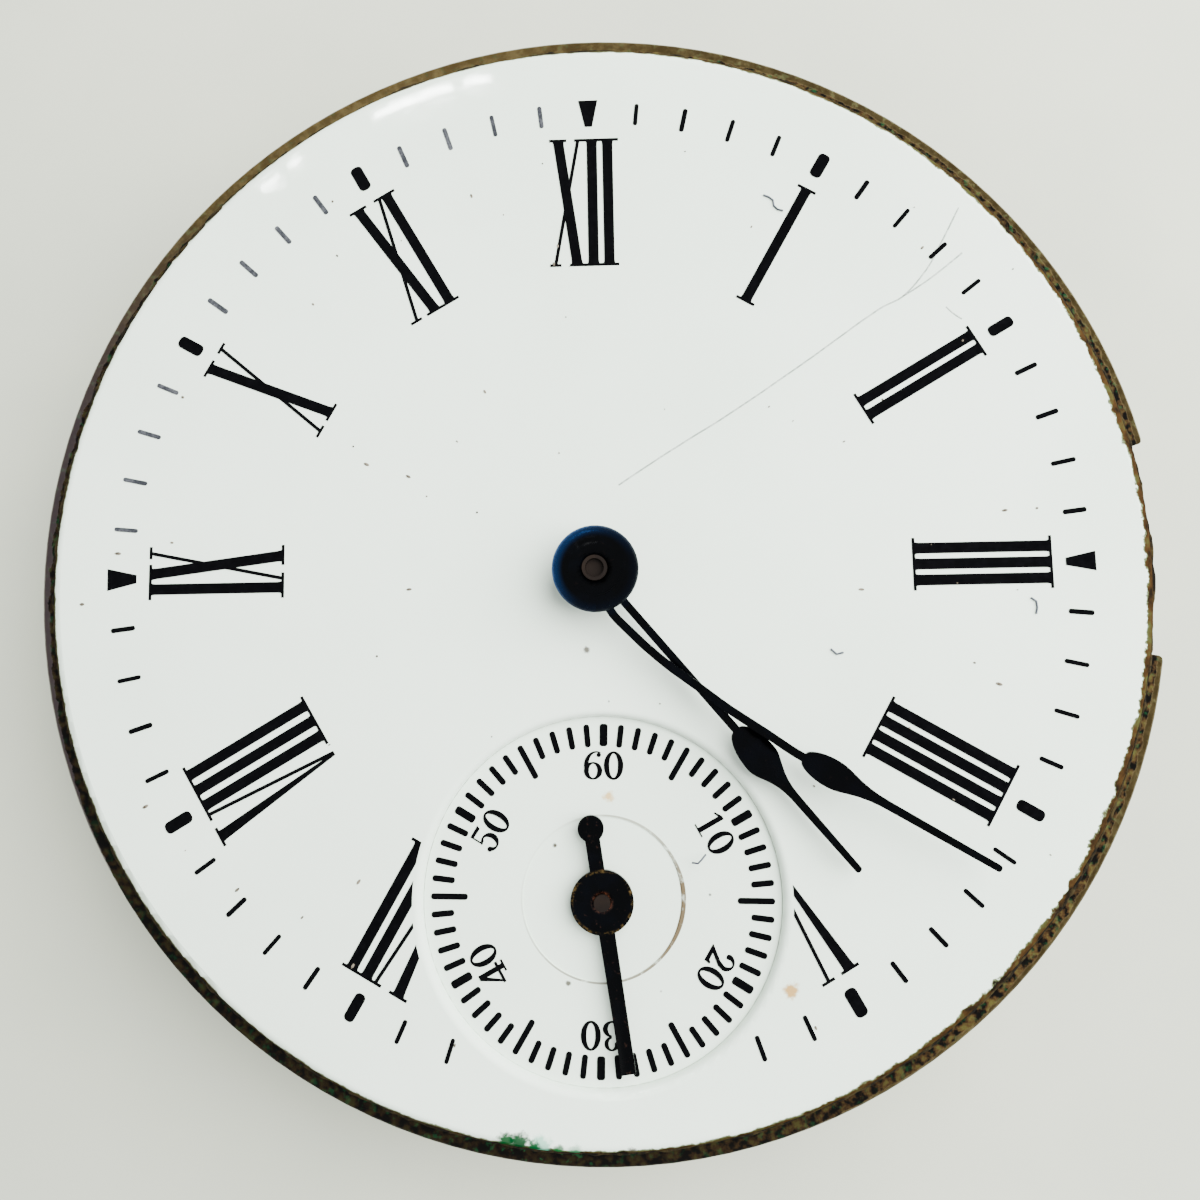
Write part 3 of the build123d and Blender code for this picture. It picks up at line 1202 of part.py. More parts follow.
centre_blank = wheel_blank(centre_teeth, centre_module, 5)
third_blank = wheel_blank(third_teeth, third_module, 5)
fourth_blank = wheel_blank(fourth_teeth, fourth_module, 5)
centre_leaves = gear_shape(centre_pinion_teeth, barrel_module, leaf=True)
third_leaves = gear_shape(third_pinion_teeth, centre_module, leaf=True)
fourth_leaves = gear_shape(fourth_pinion_teeth, third_module, leaf=True)
escape_leaves = gear_shape(escape_pinion_teeth, fourth_module, leaf=True)
cannon_leaves = gear_shape(cannon_teeth, motion_module, leaf=True)
minute_leaves = gear_shape(minute_pinion_teeth, hour_module, leaf=True)
minute_gear = gear_shape(minute_teeth, motion_module)
hour_gear = gear_shape(hour_teeth, hour_module)

# Centre arbor: wheel, leaves, and the long arbor that carries the cannon pinion
with BuildPart() as centre_wheel:
    with BuildSketch(level(centre_at, centre_low, centre_turn)):
        add(centre_blank)
    extrude(amount=wheel_thickness)
save(centre_wheel, "centre_wheel")

with BuildPart() as centre_pinion:
    with BuildSketch(level(centre_at, barrel_low - end_shake, centre_turn)):
        add(centre_leaves)
    extrude(amount=barrel_tooth_height + 2 * end_shake)
    post(centre_at, bridge_top - end_shake - jewel_thickness, barrel_low, centre_tip)
    post(centre_at, bridge_top + end_shake, centre_low - end_shake, centre_pivot)
    post(centre_at, centre_low - 2 * end_shake, centre_low + wheel_thickness + end_shake, arbor_radius)
    post(centre_at, centre_low + wheel_thickness, motion_low - end_shake, centre_pivot)
    post(centre_at, motion_low - 2 * end_shake, arbor_top, centre_tip)
save(centre_pinion, "centre_pinion")

with BuildPart() as cannon_pinion:
    with BuildSketch(level(centre_at, motion_low, centre_turn)):
        add(cannon_leaves)
    extrude(amount=wheel_thickness + motion_gap / 2)
    post(centre_at, motion_low + wheel_thickness, minute_hand_low, cannon_pipe)
    post(centre_at, minute_hand_low - seat, cannon_top, cannon_tip)
    post(centre_at, motion_low - overrun, cannon_top + overrun, centre_tip + seat, Mode.SUBTRACT)
save(cannon_pinion, "cannon_pinion")

with BuildPart() as minute_wheel:
    with BuildSketch(level(minute_wheel_at, motion_low, minute_wheel_turn)):
        add(minute_gear)
    extrude(amount=wheel_thickness)
    with BuildSketch(level(minute_wheel_at, motion_low + wheel_thickness - seat, minute_wheel_turn)):
        add(minute_leaves)
    extrude(amount=wheel_thickness + motion_gap + seat)
    post(minute_wheel_at, motion_low - overrun, plate_top + overrun, stud_pin + running, Mode.SUBTRACT)
save(minute_wheel, "minute_wheel")

with BuildPart() as hour_wheel:
    with BuildSketch(level(centre_at, hour_wheel_low, hour_wheel_turn)):
        add(hour_gear)
    extrude(amount=wheel_thickness)
    post(centre_at, hour_wheel_low + wheel_thickness - seat, hour_pipe_top, hour_pipe)
    post(centre_at, hour_wheel_low - overrun, hour_pipe_top + overrun, cannon_pipe + running, Mode.SUBTRACT)
save(hour_wheel, "hour_wheel")

with BuildPart() as dial_washer:
    post(centre_at, hour_wheel_low + wheel_thickness, hour_wheel_low + wheel_thickness + washer_thickness,
         washer_radius)
    post(centre_at, hour_wheel_low, plate_top, hour_pipe + seat, Mode.SUBTRACT)
save(dial_washer, "dial_washer")

# Third, fourth and escape arbors
with BuildPart() as third_wheel:
    with BuildSketch(level(third_at, third_low, third_turn)):
        add(third_blank)
    extrude(amount=wheel_thickness)
save(third_wheel, "third_wheel")

with BuildPart() as third_pinion:
    with BuildSketch(level(third_at, centre_low - 3 * end_shake, third_turn)):
        add(third_leaves)
    extrude(amount=wheel_thickness + 6 * end_shake)
    post(third_at, bridge_top + end_shake, plate_low - end_shake, arbor_radius)
    post(third_at, bridge_top - end_shake - jewel_thickness, bridge_top + 2 * end_shake, pivot_radius)
    post(third_at, plate_low - 2 * end_shake, plate_low + end_shake + jewel_thickness, pivot_radius)
save(third_pinion, "third_pinion")

with BuildPart() as fourth_wheel:
    with BuildSketch(level(seconds_at, fourth_low, fourth_turn)):
        add(fourth_blank)
    extrude(amount=wheel_thickness)
save(fourth_wheel, "fourth_wheel")

with BuildPart() as fourth_pinion:
    with BuildSketch(level(seconds_at, third_low - third_below_escape, fourth_turn)):
        add(fourth_leaves)
    extrude(amount=wheel_thickness + 2 * third_below_escape)
    post(seconds_at, bridge_top + end_shake, plate_low - end_shake, arbor_radius)
    post(seconds_at, bridge_top - end_shake - jewel_thickness, bridge_top + 2 * end_shake, pivot_radius)
    post(seconds_at, plate_low - 2 * end_shake, seconds_hand_low + hand_thickness + seconds_post_proud,
         seconds_post)
save(fourth_pinion, "fourth_pinion")

with BuildPart() as escape_pinion:
    with BuildSketch(level(escape_at, fourth_low - 4 * end_shake, escape_turn)):
        add(escape_leaves)
    extrude(amount=wheel_thickness + 8 * end_shake)
    post(escape_at, bridge_top + end_shake, plate_low - end_shake, staff_radius)
    post(escape_at, bridge_top - end_shake - jewel_thickness, bridge_top + 2 * end_shake, pivot_radius)
    post(escape_at, plate_low - 2 * end_shake, plate_low + end_shake + jewel_thickness, pivot_radius)
save(escape_pinion, "escape_pinion")

escape_windows = windows(escape_rim - escape_rim_width, escape_hub, 4, arm_width / 2)
tooth_pitch = 360 / escape_teeth
with BuildSketch() as escape_tooth:
    with BuildLine():
        Polyline(polar(escape_rim - escape_rim_width / 2, tooth_pitch / 4),
                 polar(escape_radius - end_shake, escape_tooth_lean + tooth_pitch / 4),
                 polar(escape_radius, escape_tooth_lean + tooth_pitch / 4 - escape_tooth_land),
                 polar(escape_rim - escape_rim_width / 2, -tooth_pitch / 4), close=True)
    make_face()
with BuildPart() as escape_wheel:
    with BuildSketch(level(escape_at, escape_low)):
        Circle(escape_rim)
        with PolarLocations(0, escape_teeth):
            add(escape_tooth.sketch)
        add(escape_windows, mode=Mode.SUBTRACT)
        Circle(staff_radius + seat, mode=Mode.SUBTRACT)
    extrude(amount=wheel_thickness)
save(escape_wheel, "escape_wheel")

# Pallet fork with its two stones and arbor
stone_spots = [polar(escape_radius + stone_gap + stone_length / 2, lever_bearing + side * 30, escape_at)
               for side in (-1, 1)]
with BuildPart() as pallet_fork:
    with BuildSketch(level(pallet_at, escape_low, lever_bearing)):
        Circle(lever_width)
        with BuildLine():
            Polyline((0, -lever_width), (fork_reach - fork_half, -lever_width / 2),
                     (fork_reach, -fork_half), (fork_reach, fork_half),
                     (fork_reach - fork_half, lever_width / 2), (0, lever_width), close=True)
        make_face()
        with Locations((fork_reach, 0)):
            Rectangle(2 * fork_half, fork_slot, mode=Mode.SUBTRACT)
    extrude(amount=wheel_thickness)
    for side, spot in zip((-1, 1), stone_spots):
        outer = polar(escape_radius + stone_gap + stone_length / 2 + stone_width, lever_bearing + side * 30,
                      escape_at)
        reach = apart(pallet_at, outer)
        with BuildSketch(level(pallet_at, escape_low, bearing_of(pallet_at, outer))):
            Rectangle(reach, pallet_arm_width, align=(Align.MIN, Align.CENTER))
        extrude(amount=wheel_thickness)
        with BuildSketch(level(spot, escape_low, lever_bearing + side * 30)):
            with Locations((stone_width / 2, 0)):
                Rectangle(*stone_block)
        extrude(amount=wheel_thickness)
    for side, spot in zip((-1, 1), stone_spots):
        with BuildSketch(level(spot, escape_low - overrun, lever_bearing + side * 30)):
            Rectangle(stone_length + 2 * seat, stone_width + 2 * seat)
        extrude(amount=2 * overrun, mode=Mode.SUBTRACT)
    post(pallet_at, escape_low - overrun, escape_low + overrun, staff_radius + seat, Mode.SUBTRACT)
save(pallet_fork, "pallet_fork")

with BuildPart() as pallet_stones:
    for side, spot in zip((-1, 1), stone_spots):
        with BuildSketch(level(spot, escape_low - stone_extra, lever_bearing + side * 30)):
            Rectangle(stone_length, stone_width)
        extrude(amount=wheel_thickness + 2 * stone_extra)
save(pallet_stones, "pallet_stones")

with BuildPart() as pallet_arbor:
    post(pallet_at, pallet_cock_top + end_shake, plate_low - end_shake, staff_radius)
    post(pallet_at, pallet_cock_top - jewel_thickness, pallet_cock_top + 2 * end_shake, pivot_radius)
    post(pallet_at, plate_low - 2 * end_shake, plate_low + end_shake + jewel_thickness, pivot_radius)
save(pallet_arbor, "pallet_arbor")

# Balance: rim and arm, timing screws, staff, roller and its jewel
balance_windows = windows(balance_radius - balance_rim, balance_hub, 2, balance_arm_width)
with BuildPart() as balance_wheel:
    post(balance_at, balance_low, balance_top, balance_radius)
    post(balance_at, balance_low - overrun, balance_low + balance_arm_drop, balance_radius - balance_rim,
         Mode.SUBTRACT)
    post(balance_at, balance_low + balance_arm_drop + wheel_thickness, balance_top + overrun,
         balance_radius - balance_rim, Mode.SUBTRACT)
    with BuildSketch(level(balance_at, balance_low - overrun, lever_bearing)):
        add(balance_windows)
    extrude(amount=balance_rim_height + 2 * overrun, mode=Mode.SUBTRACT)
    post(balance_at, balance_low, balance_top, staff_radius + seat, Mode.SUBTRACT)
    for index in range(balance_screw_count):
        bearing = lever_bearing + 360 / balance_screw_count * (index + 1 / 2)
        way = Plane(origin=(*balance_at, (balance_low + balance_top) / 2), x_dir=(0, 0, 1),
                    z_dir=(cos(radians(bearing)), sin(radians(bearing)), 0))
        with Locations(way.offset(balance_radius - balance_rim / 2)):
            Cylinder(balance_screw_shank + seat, balance_rim, align=(Align.CENTER, Align.CENTER, Align.MIN),
                     mode=Mode.SUBTRACT)
save(balance_wheel, "balance_wheel")

with BuildPart() as balance_screws:
    for index in range(balance_screw_count):
        bearing = lever_bearing + 360 / balance_screw_count * (index + 1 / 2)
        way = Plane(origin=(*balance_at, (balance_low + balance_top) / 2), x_dir=(0, 0, 1),
                    z_dir=(cos(radians(bearing)), sin(radians(bearing)), 0))
        with Locations(way.offset(balance_radius - balance_rim / 2 + seat)):
            Cylinder(balance_screw_shank, balance_rim / 2 + balance_screw_reach / 2,
                     align=(Align.CENTER, Align.CENTER, Align.MIN))
        with Locations(way.offset(balance_radius + seat)):
            Cylinder(balance_screw_head, balance_screw_reach - seat,
                     align=(Align.CENTER, Align.CENTER, Align.MIN))
save(balance_screws, "balance_screws")

with BuildPart() as balance_staff:
    post(balance_at, cock_top + end_shake, plate_low - end_shake, staff_radius)
    post(balance_at, cock_top - jewel_thickness, cock_top + 2 * end_shake, pivot_radius)
    post(balance_at, plate_low - 2 * end_shake, plate_low + end_shake + jewel_thickness, pivot_radius)
    post(balance_at, cock_top + 2 * end_shake, balance_low + balance_arm_drop - end_shake, collet_radius)
save(balance_staff, "balance_staff")

roller_low = escape_low - 2 * roller_thickness - end_shake
jewel_at = polar(roller_jewel_reach, lever_bearing + 180 - roller_turn, balance_at)
with BuildPart() as roller:
    post(balance_at, roller_low, roller_low + roller_thickness, roller_radius)
    post(balance_at, roller_low - overrun, roller_low + overrun, staff_radius + seat, Mode.SUBTRACT)
    post(jewel_at, roller_low - overrun, roller_low + overrun, roller_jewel_radius + seat, Mode.SUBTRACT)
save(roller, "roller")

with BuildPart() as roller_jewel:
    post(jewel_at, roller_low, escape_low + wheel_thickness + stone_extra, roller_jewel_radius)
save(roller_jewel, "roller_jewel")

# Hands. Each spade is (start, widest place, end of taper, tip, greatest width) along its own line.
shoulder_share, fall_share, waist_share = 0.35, 0.3, 0.4


def spade_shape(start, wide, end, tip, width):
    """The spade of a hand along +Y: round shoulders, a hollow taper and a blunt tip."""
    stem, blunt, full = hand_stem / 2, hand_tip / 2, width / 2
    fall = wide + (end - wide) * fall_share
    waist = wide + (end - wide) * waist_share
    neck = stem + (full - stem) * shoulder_share
    with BuildSketch() as spade:
        with BuildLine():
            Line((-stem, start), (stem, start))
            Bezier((stem, start), (neck, start), (full, start + (wide - start) * shoulder_share), (full, wide))
            Bezier((full, wide), (full, fall), (stem, waist), (stem, end))
            Line((stem, end), (blunt, tip - blunt))
            Bezier((blunt, tip - blunt), (blunt, tip), (0, tip))
            Bezier((0, tip), (-blunt, tip), (-blunt, tip - blunt))
            Line((-blunt, tip - blunt), (-stem, end))
            Bezier((-stem, end), (-stem, waist), (-full, fall), (-full, wide))
            Bezier((-full, wide), (-full, start + (wide - start) * shoulder_share), (-neck, start),
                   (-stem, start))
        make_face()
    return spade.sketch


hour_outline = spade_shape(*hour_spade)
minute_outline = spade_shape(*minute_spade)
with BuildPart() as hour_hand:
    with BuildSketch(clock(centre_at, hour_hand_low, hour_hand_at)):
        Rectangle(hand_stem, hour_spade[0], align=(Align.CENTER, Align.MIN))
        add(hour_outline)
    extrude(amount=hand_thickness)
    post(centre_at, hour_hand_low, hour_hand_low + hour_collet_height, hour_collet_radius)
    post(centre_at, hour_hand_low - overrun, hour_pipe_top + overrun, hour_pipe + seat, Mode.SUBTRACT)
save(hour_hand, "hour_hand")


def stem_side(points, offset):
    """The points beside a bent line, to its left for a positive offset."""
    ways = [bearing_of(a, b) for a, b in zip(points, points[1:])]
    ways = [ways[0]] + [(a + b) / 2 for a, b in zip(ways, ways[1:])] + [ways[-1]]
    return [polar(offset, way + 90, point) for point, way in zip(points, ways)]


# The minute hand's stem is bent, so its middle line bows out past the hour hand before the spade
spade_way = 90 - bearing_of(minute_hand_path[-1], minute_hand_tip)
stem_left, stem_right = (stem_side(minute_hand_path, side * hand_stem / 2) for side in (1, -1))
with BuildPart() as minute_hand:
    with BuildSketch(Plane.XY.offset(minute_hand_low)):
        with BuildLine():
            Spline(*stem_left)
            Line(stem_left[-1], stem_right[-1])
            Spline(*stem_right)
            Line(stem_left[0], stem_right[0])
        make_face()
    extrude(amount=hand_thickness)
    with BuildSketch(clock(minute_hand_path[-1], minute_hand_low, spade_way)):
        add(minute_outline)
        Circle(hand_stem / 2)
    extrude(amount=hand_thickness)
    post(centre_at, minute_hand_low, boss_top - boss_bevel, boss_radius)
    with Locations((0, 0, boss_top - boss_bevel)):
        Cone(boss_radius, boss_radius - boss_bevel, boss_bevel, align=(Align.CENTER, Align.CENTER, Align.MIN))
    post(centre_at, boss_top - seat, ring_top, boss_ring)
    post(centre_at, minute_hand_low - overrun, ring_top + overrun, cannon_tip + seat, Mode.SUBTRACT)
save(minute_hand, "minute_hand")

with BuildPart() as seconds_hand:
    with BuildSketch(clock(seconds_at, seconds_hand_low, seconds_hand_at)):
        Circle(seconds_hand_hub)
        Polygon((-seconds_hand_widths[0] / 2, 0), (seconds_hand_widths[0] / 2, 0),
                (seconds_hand_widths[1] / 2, seconds_hand_length),
                (-seconds_hand_widths[1] / 2, seconds_hand_length), align=None)
        Rectangle(seconds_hand_neck, seconds_hand_tail - seconds_hand_tail_end,
                  align=(Align.CENTER, Align.MAX))
        with Locations((0, seconds_hand_tail_end - seconds_hand_tail)):
            Circle(seconds_hand_tail_end)
    extrude(amount=hand_thickness)
    post(seconds_at, seconds_top + 2 * end_shake, seconds_hand_low + seat, seconds_hand_pipe)
    post(seconds_at, seconds_top, seconds_hand_low + overrun, seconds_post + seat, Mode.SUBTRACT)
save(seconds_hand, "seconds_hand")
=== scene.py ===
"""Looks of a pocket watch movement seen from its dial side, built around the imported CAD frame.

Each sub-assembly is a class that holds its sizes in millimetres and builds and dresses its own
pieces. Each finish is a frozen dataclass that paints one procedural material.
"""

import json
import logging
import math
from dataclasses import dataclass
from enum import Enum
from typing import Any, Iterable, NamedTuple, Sequence

import bmesh
import bpy
from mathutils import Matrix, Quaternion, Vector

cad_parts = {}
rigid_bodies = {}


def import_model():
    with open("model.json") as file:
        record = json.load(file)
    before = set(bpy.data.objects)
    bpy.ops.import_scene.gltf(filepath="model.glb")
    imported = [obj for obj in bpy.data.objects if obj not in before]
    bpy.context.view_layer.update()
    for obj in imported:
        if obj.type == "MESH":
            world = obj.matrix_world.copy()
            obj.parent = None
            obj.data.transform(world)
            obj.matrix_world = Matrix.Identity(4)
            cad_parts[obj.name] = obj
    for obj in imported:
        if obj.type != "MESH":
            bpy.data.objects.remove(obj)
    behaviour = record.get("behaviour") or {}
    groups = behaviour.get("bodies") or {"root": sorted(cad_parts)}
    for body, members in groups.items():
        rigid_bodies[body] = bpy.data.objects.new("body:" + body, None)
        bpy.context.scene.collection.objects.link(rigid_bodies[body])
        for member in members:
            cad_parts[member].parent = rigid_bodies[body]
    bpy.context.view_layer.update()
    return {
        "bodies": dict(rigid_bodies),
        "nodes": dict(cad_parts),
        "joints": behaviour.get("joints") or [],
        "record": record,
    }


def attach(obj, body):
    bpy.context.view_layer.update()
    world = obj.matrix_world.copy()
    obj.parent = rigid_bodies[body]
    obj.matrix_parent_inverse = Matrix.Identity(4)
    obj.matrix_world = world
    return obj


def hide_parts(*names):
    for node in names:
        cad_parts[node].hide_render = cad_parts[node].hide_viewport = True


MM = 0.001
MINUTES = 60
log = logging.getLogger("scene")

Colour = tuple[float, float, float]
Spot = tuple[float, float]
Point = tuple[float, float, float]
Levels = tuple[tuple[float, float], ...]
Lines = tuple[tuple[Spot, ...], ...]
Socket = bpy.types.NodeSocket


class Body(Enum):
    """The moving bodies that extra pieces ride on."""

    ROOT = "root"
    HOUR = "hour"
    MINUTE = "centre"
    SECONDS = "fourth"
    BALANCE = "balance"


class Slot(Enum):
    """The record's material slots, named for extra pieces."""

    BRASS = "brass"
    BLUED = "blued"
    INK = "ink"


class Stain(NamedTuple):
    """A stain's middle and radius in millimetres, its colour and its strength."""

    spot: Spot
    radius: float
    colour: Colour
    share: float


class Softbox(NamedTuple):
    """A round soft light's place and size in millimetres, and its power in watts."""

    spot: Point
    size: float
    power: float


class Glint(NamedTuple):
    """A reflection's middle, length and width on the dial in millimetres, and its turn."""

    spot: Spot
    size: Spot
    turn: float


def linear(red: int, green: int, blue: int) -> Colour:
    """Turn a screen colour into the linear one that shaders take.

    Args:
        red: Red, from 0 to 255.
        green: Green, from 0 to 255.
        blue: Blue, from 0 to 255.

    Returns:
        The linear colour.
    """
    shares = [value / 255 for value in (red, green, blue)]
    return tuple(s / 12.92 if s <= 0.04045 else ((s + 0.055) / 1.055) ** 2.4 for s in shares)


class Graph:
    """A shader or geometry node tree that is filled one node at a time."""

    def __init__(self, tree: bpy.types.NodeTree) -> None:
        """Keep the empty tree to fill."""
        self.tree = tree

    def feed(self, socket: Socket, value: Any) -> None:
        """Link an input to another node's output, or set its own value.

        Args:
            socket: The input.
            value: An output, a number, a vector, a colour or a material.
        """
        if isinstance(value, Socket):
            self.tree.links.new(value, socket)
        elif socket.type == "RGBA":
            socket.default_value = (*value, 1.0)
        else:
            socket.default_value = value

    def add(
        self, kind: str, inputs: dict[Any, Any] | None = None, **settings: Any
    ) -> bpy.types.Node:
        """Add a node and fill its sockets.

        Args:
            kind: The node's type name.
            inputs: Socket names or indices, and what feeds them.
            **settings: The node's own properties.

        Returns:
            The new node.
        """
        node = self.tree.nodes.new(kind)
        for name, value in settings.items():
            setattr(node, name, value)
        for name, value in (inputs or {}).items():
            self.feed(node.inputs[name], value)
        return node

    def math(self, operation: str, *values: Any, clamp: bool = False) -> Socket:
        """Add a number operation; clamp keeps its result from 0 to 1."""
        inputs = dict(enumerate(values))
        return self.add("ShaderNodeMath", inputs, operation=operation, use_clamp=clamp).outputs[0]

    def plus(self, first: Any, second: Any) -> Socket:
        """Add two numbers or sockets."""
        return self.math("ADD", first, second)

    def minus(self, first: Any, second: Any) -> Socket:
        """Take the second number or socket from the first."""
        return self.math("SUBTRACT", first, second)

    def times(self, first: Any, second: Any) -> Socket:
        """Multiply two numbers or sockets."""
        return self.math("MULTIPLY", first, second)

    def larger(self, first: Any, second: Any) -> Socket:
        """Take the larger of two numbers or sockets."""
        return self.math("MAXIMUM", first, second)

    def scaled(self, value: Any, slope: Any, start: Any) -> Socket:
        """Multiply a socket by a slope and add a start."""
        return self.math("MULTIPLY_ADD", value, slope, start)

    def centred(self, noise: Any, width: float) -> Socket:
        """Move a noise from round a half to round nought, and widen it."""
        return self.times(self.minus(noise, 0.5), width)

    def step(self, value: Any, low: float, high: float) -> Socket:
        """Add a smooth step that is 0 below low and 1 above high, or the other way round.

        Args:
            value: The socket to read.
            low: Where the step starts.
            high: Where it ends.

        Returns:
            The result's socket.
        """
        rises = low < high
        inputs = {
            "Value": value, "From Min": min(low, high), "From Max": max(low, high),
            "To Min": 0.0 if rises else 1.0, "To Max": 1.0 if rises else 0.0,
        }
        return self.add("ShaderNodeMapRange", inputs, interpolation_type="SMOOTHSTEP").outputs[0]

    def mix(self, factor: Any, under: Any, over: Any) -> Socket:
        """Lay one colour over another by a factor."""
        inputs = {0: factor, 6: under, 7: over}
        return self.add("ShaderNodeMix", inputs, data_type="RGBA").outputs[2]

    def noise(self, vector: Any, scale: float, detail: float = 3.0, rough: float = 0.55) -> Socket:
        """Add a noise texture.

        Args:
            vector: The coordinates' socket.
            scale: Features per unit of the coordinates.
            detail: Number of finer layers.
            rough: Weight of the finer layers.

        Returns:
            The noise value's socket.
        """
        inputs = {"Vector": vector, "Scale": scale, "Detail": detail, "Roughness": rough}
        return self.add("ShaderNodeTexNoise", inputs).outputs[0]

    def ramp(self, factor: Any, stops: Sequence[tuple[float, Colour]]) -> Socket:
        """Add a colour ramp.

        Args:
            factor: The socket to read.
            stops: Positions from 0 to 1 with their colours.

        Returns:
            The colour's socket.
        """
        node = self.add("ShaderNodeValToRGB", {0: factor})
        elements = node.color_ramp.elements
        while len(elements) > 1:
            elements.remove(elements[-1])
        elements[0].position = stops[0][0]
        elements[0].color = (*stops[0][1], 1.0)
        for position, colour in stops[1:]:
            elements.new(position).color = (*colour, 1.0)
        return node.outputs[0]

    def levels(self, factor: Any, stops: Levels) -> Socket:
        """Add a ramp of numbers."""
        return self.ramp(factor, [(position, (level,) * 3) for position, level in stops])

    def place(self, centre: Spot = (0.0, 0.0)) -> Socket:
        """Read the object coordinates from a point of the plan.

        Args:
            centre: The point in millimetres.

        Returns:
            The coordinates' socket.
        """
        own = self.add("ShaderNodeTexCoord").outputs["Object"]
        if centre == (0.0, 0.0):
            return own
        shift = (-centre[0] * MM, -centre[1] * MM, 0.0)
        return self.add("ShaderNodeMapping", {"Vector": own, "Location": shift}).outputs[0]

    def split(self, vector: Any) -> Sequence[Socket]:
        """Split a vector into its three numbers."""
        return self.add("ShaderNodeSeparateXYZ", {0: vector}).outputs

    def distance(self, across: Any, along: Any) -> Socket:
        """Turn two steps at right angles into their distance."""
        square = self.plus(self.times(across, across), self.times(along, along))
        return self.math("SQRT", square)

    def polar(self, vector: Any) -> tuple[Socket, Socket]:
        """Measure distance and bearing about the vertical axis.

        Args:
            vector: The coordinates' socket.

        Returns:
            The distance in millimetres, and the clock bearing from six round by nine, 0 to 1.
        """
        x, y, _ = self.split(vector)
        reach = self.times(self.distance(x, y), 1 / MM)
        turn = self.math("DIVIDE", self.math("ARCTAN2", x, y), 2 * math.pi)
        return reach, self.plus(turn, 0.5)

    def near(self, vector: Any, spot: Spot, radius: float, ragged: Any) -> Socket:
        """Mask a ragged patch round a point of the plan.

        Args:
            vector: The object coordinates' socket.
            spot: The patch's middle in millimetres.
            radius: Its size in millimetres.
            ragged: A noise socket that breaks its edge.

        Returns:
            The mask's socket.
        """
        x, y, _ = self.split(vector)
        apart = self.distance(self.minus(x, spot[0] * MM), self.minus(y, spot[1] * MM))
        broken = self.plus(self.times(apart, 1 / MM), self.centred(ragged, 2.2 * radius))
        return self.step(broken, radius, 0.35 * radius)

    def bump(self, height: Any, depth: float) -> Socket:
        """Turn a height into a normal, with its relief in millimetres."""
        return self.add("ShaderNodeBump", {"Distance": depth * MM, "Height": height}).outputs[0]

    def surface(self, **values: Any) -> None:
        """Add a physically based surface and the material's output.

        Args:
            **values: Socket names, with _ for spaces, and what feeds them.
        """
        inputs = {name.replace("_", " "): value for name, value in values.items()}
        shader = self.add("ShaderNodeBsdfPrincipled", inputs)
        self.add("ShaderNodeOutputMaterial", {"Surface": shader.outputs[0]})


@dataclass(frozen=True)
class Finish:
    """A procedural material under the name that it gets."""

    name: str

    def make(self) -> bpy.types.Material:
        """Build the material.

        Returns:
            The material.
        """
        material = bpy.data.materials.new(self.name)
        material.use_nodes = True
        material.node_tree.nodes.clear()
        self.paint(Graph(material.node_tree))
        return material

    def paint(self, graph: Graph) -> None:
        """Fill the material's empty graph."""
        raise NotImplementedError


@dataclass(frozen=True)
class Metal(Finish):
    """A metal with a fine grain, slow changes of tone and, where asked, soil high up or far out."""

    tone: Colour
    shade: Colour
    roughness: float = 0.25
    grain: float = 6.0
    relief: float = 0.004
    patches: float = 0.6
    soiled_above: float = 0.0
    soiled_beyond: float = 0.0
    soil: Colour = linear(24, 20, 18)
    soil_shade: Colour = linear(34, 27, 22)
    fade_up: float = 0.05
    fade_out: float = 0.1

    def soiled(self, graph: Graph, place: Any) -> Socket:
        """Mask the soil, above a level or beyond a radius.

        Args:
            graph: The material's graph.
            place: The object coordinates' socket.

        Returns:
            The mask's socket.
        """
        if self.soiled_above:
            top = self.soiled_above
            return graph.step(graph.split(place)[2], (top - self.fade_up) * MM, top * MM)
        reach, _ = graph.polar(place)
        return graph.step(reach, self.soiled_beyond - self.fade_out, self.soiled_beyond)

    def paint(self, graph: Graph) -> None:
        """Paint the grain and the patches, and the soil over them.

        Args:
            graph: The material's empty graph.
        """
        place = graph.place()
        patches = graph.step(graph.noise(place, self.patches / MM, 4.0), 0.38, 0.68)
        grain = graph.noise(place, self.grain / MM, 2.0, 0.7)
        rough = graph.scaled(grain, 0.16, self.roughness - 0.06)
        colour = graph.mix(patches, self.tone, self.shade)
        metallic: Any = 1.0
        gloss: Any = 0.5
        if self.soiled_above or self.soiled_beyond:
            soiled = self.soiled(graph, place)
            colour = graph.mix(soiled, colour, graph.mix(patches, self.soil, self.soil_shade))
            metallic = graph.scaled(soiled, -0.85, 1.0)
            rough = graph.scaled(soiled, 0.15, rough)
            gloss = graph.scaled(soiled, -0.42, 0.5)
        graph.surface(
            Base_Color=colour,
            Metallic=metallic,
            Specular_IOR_Level=gloss,
            Roughness=graph.scaled(patches, 0.08, rough),
            Normal=graph.bump(grain, self.relief),
        )


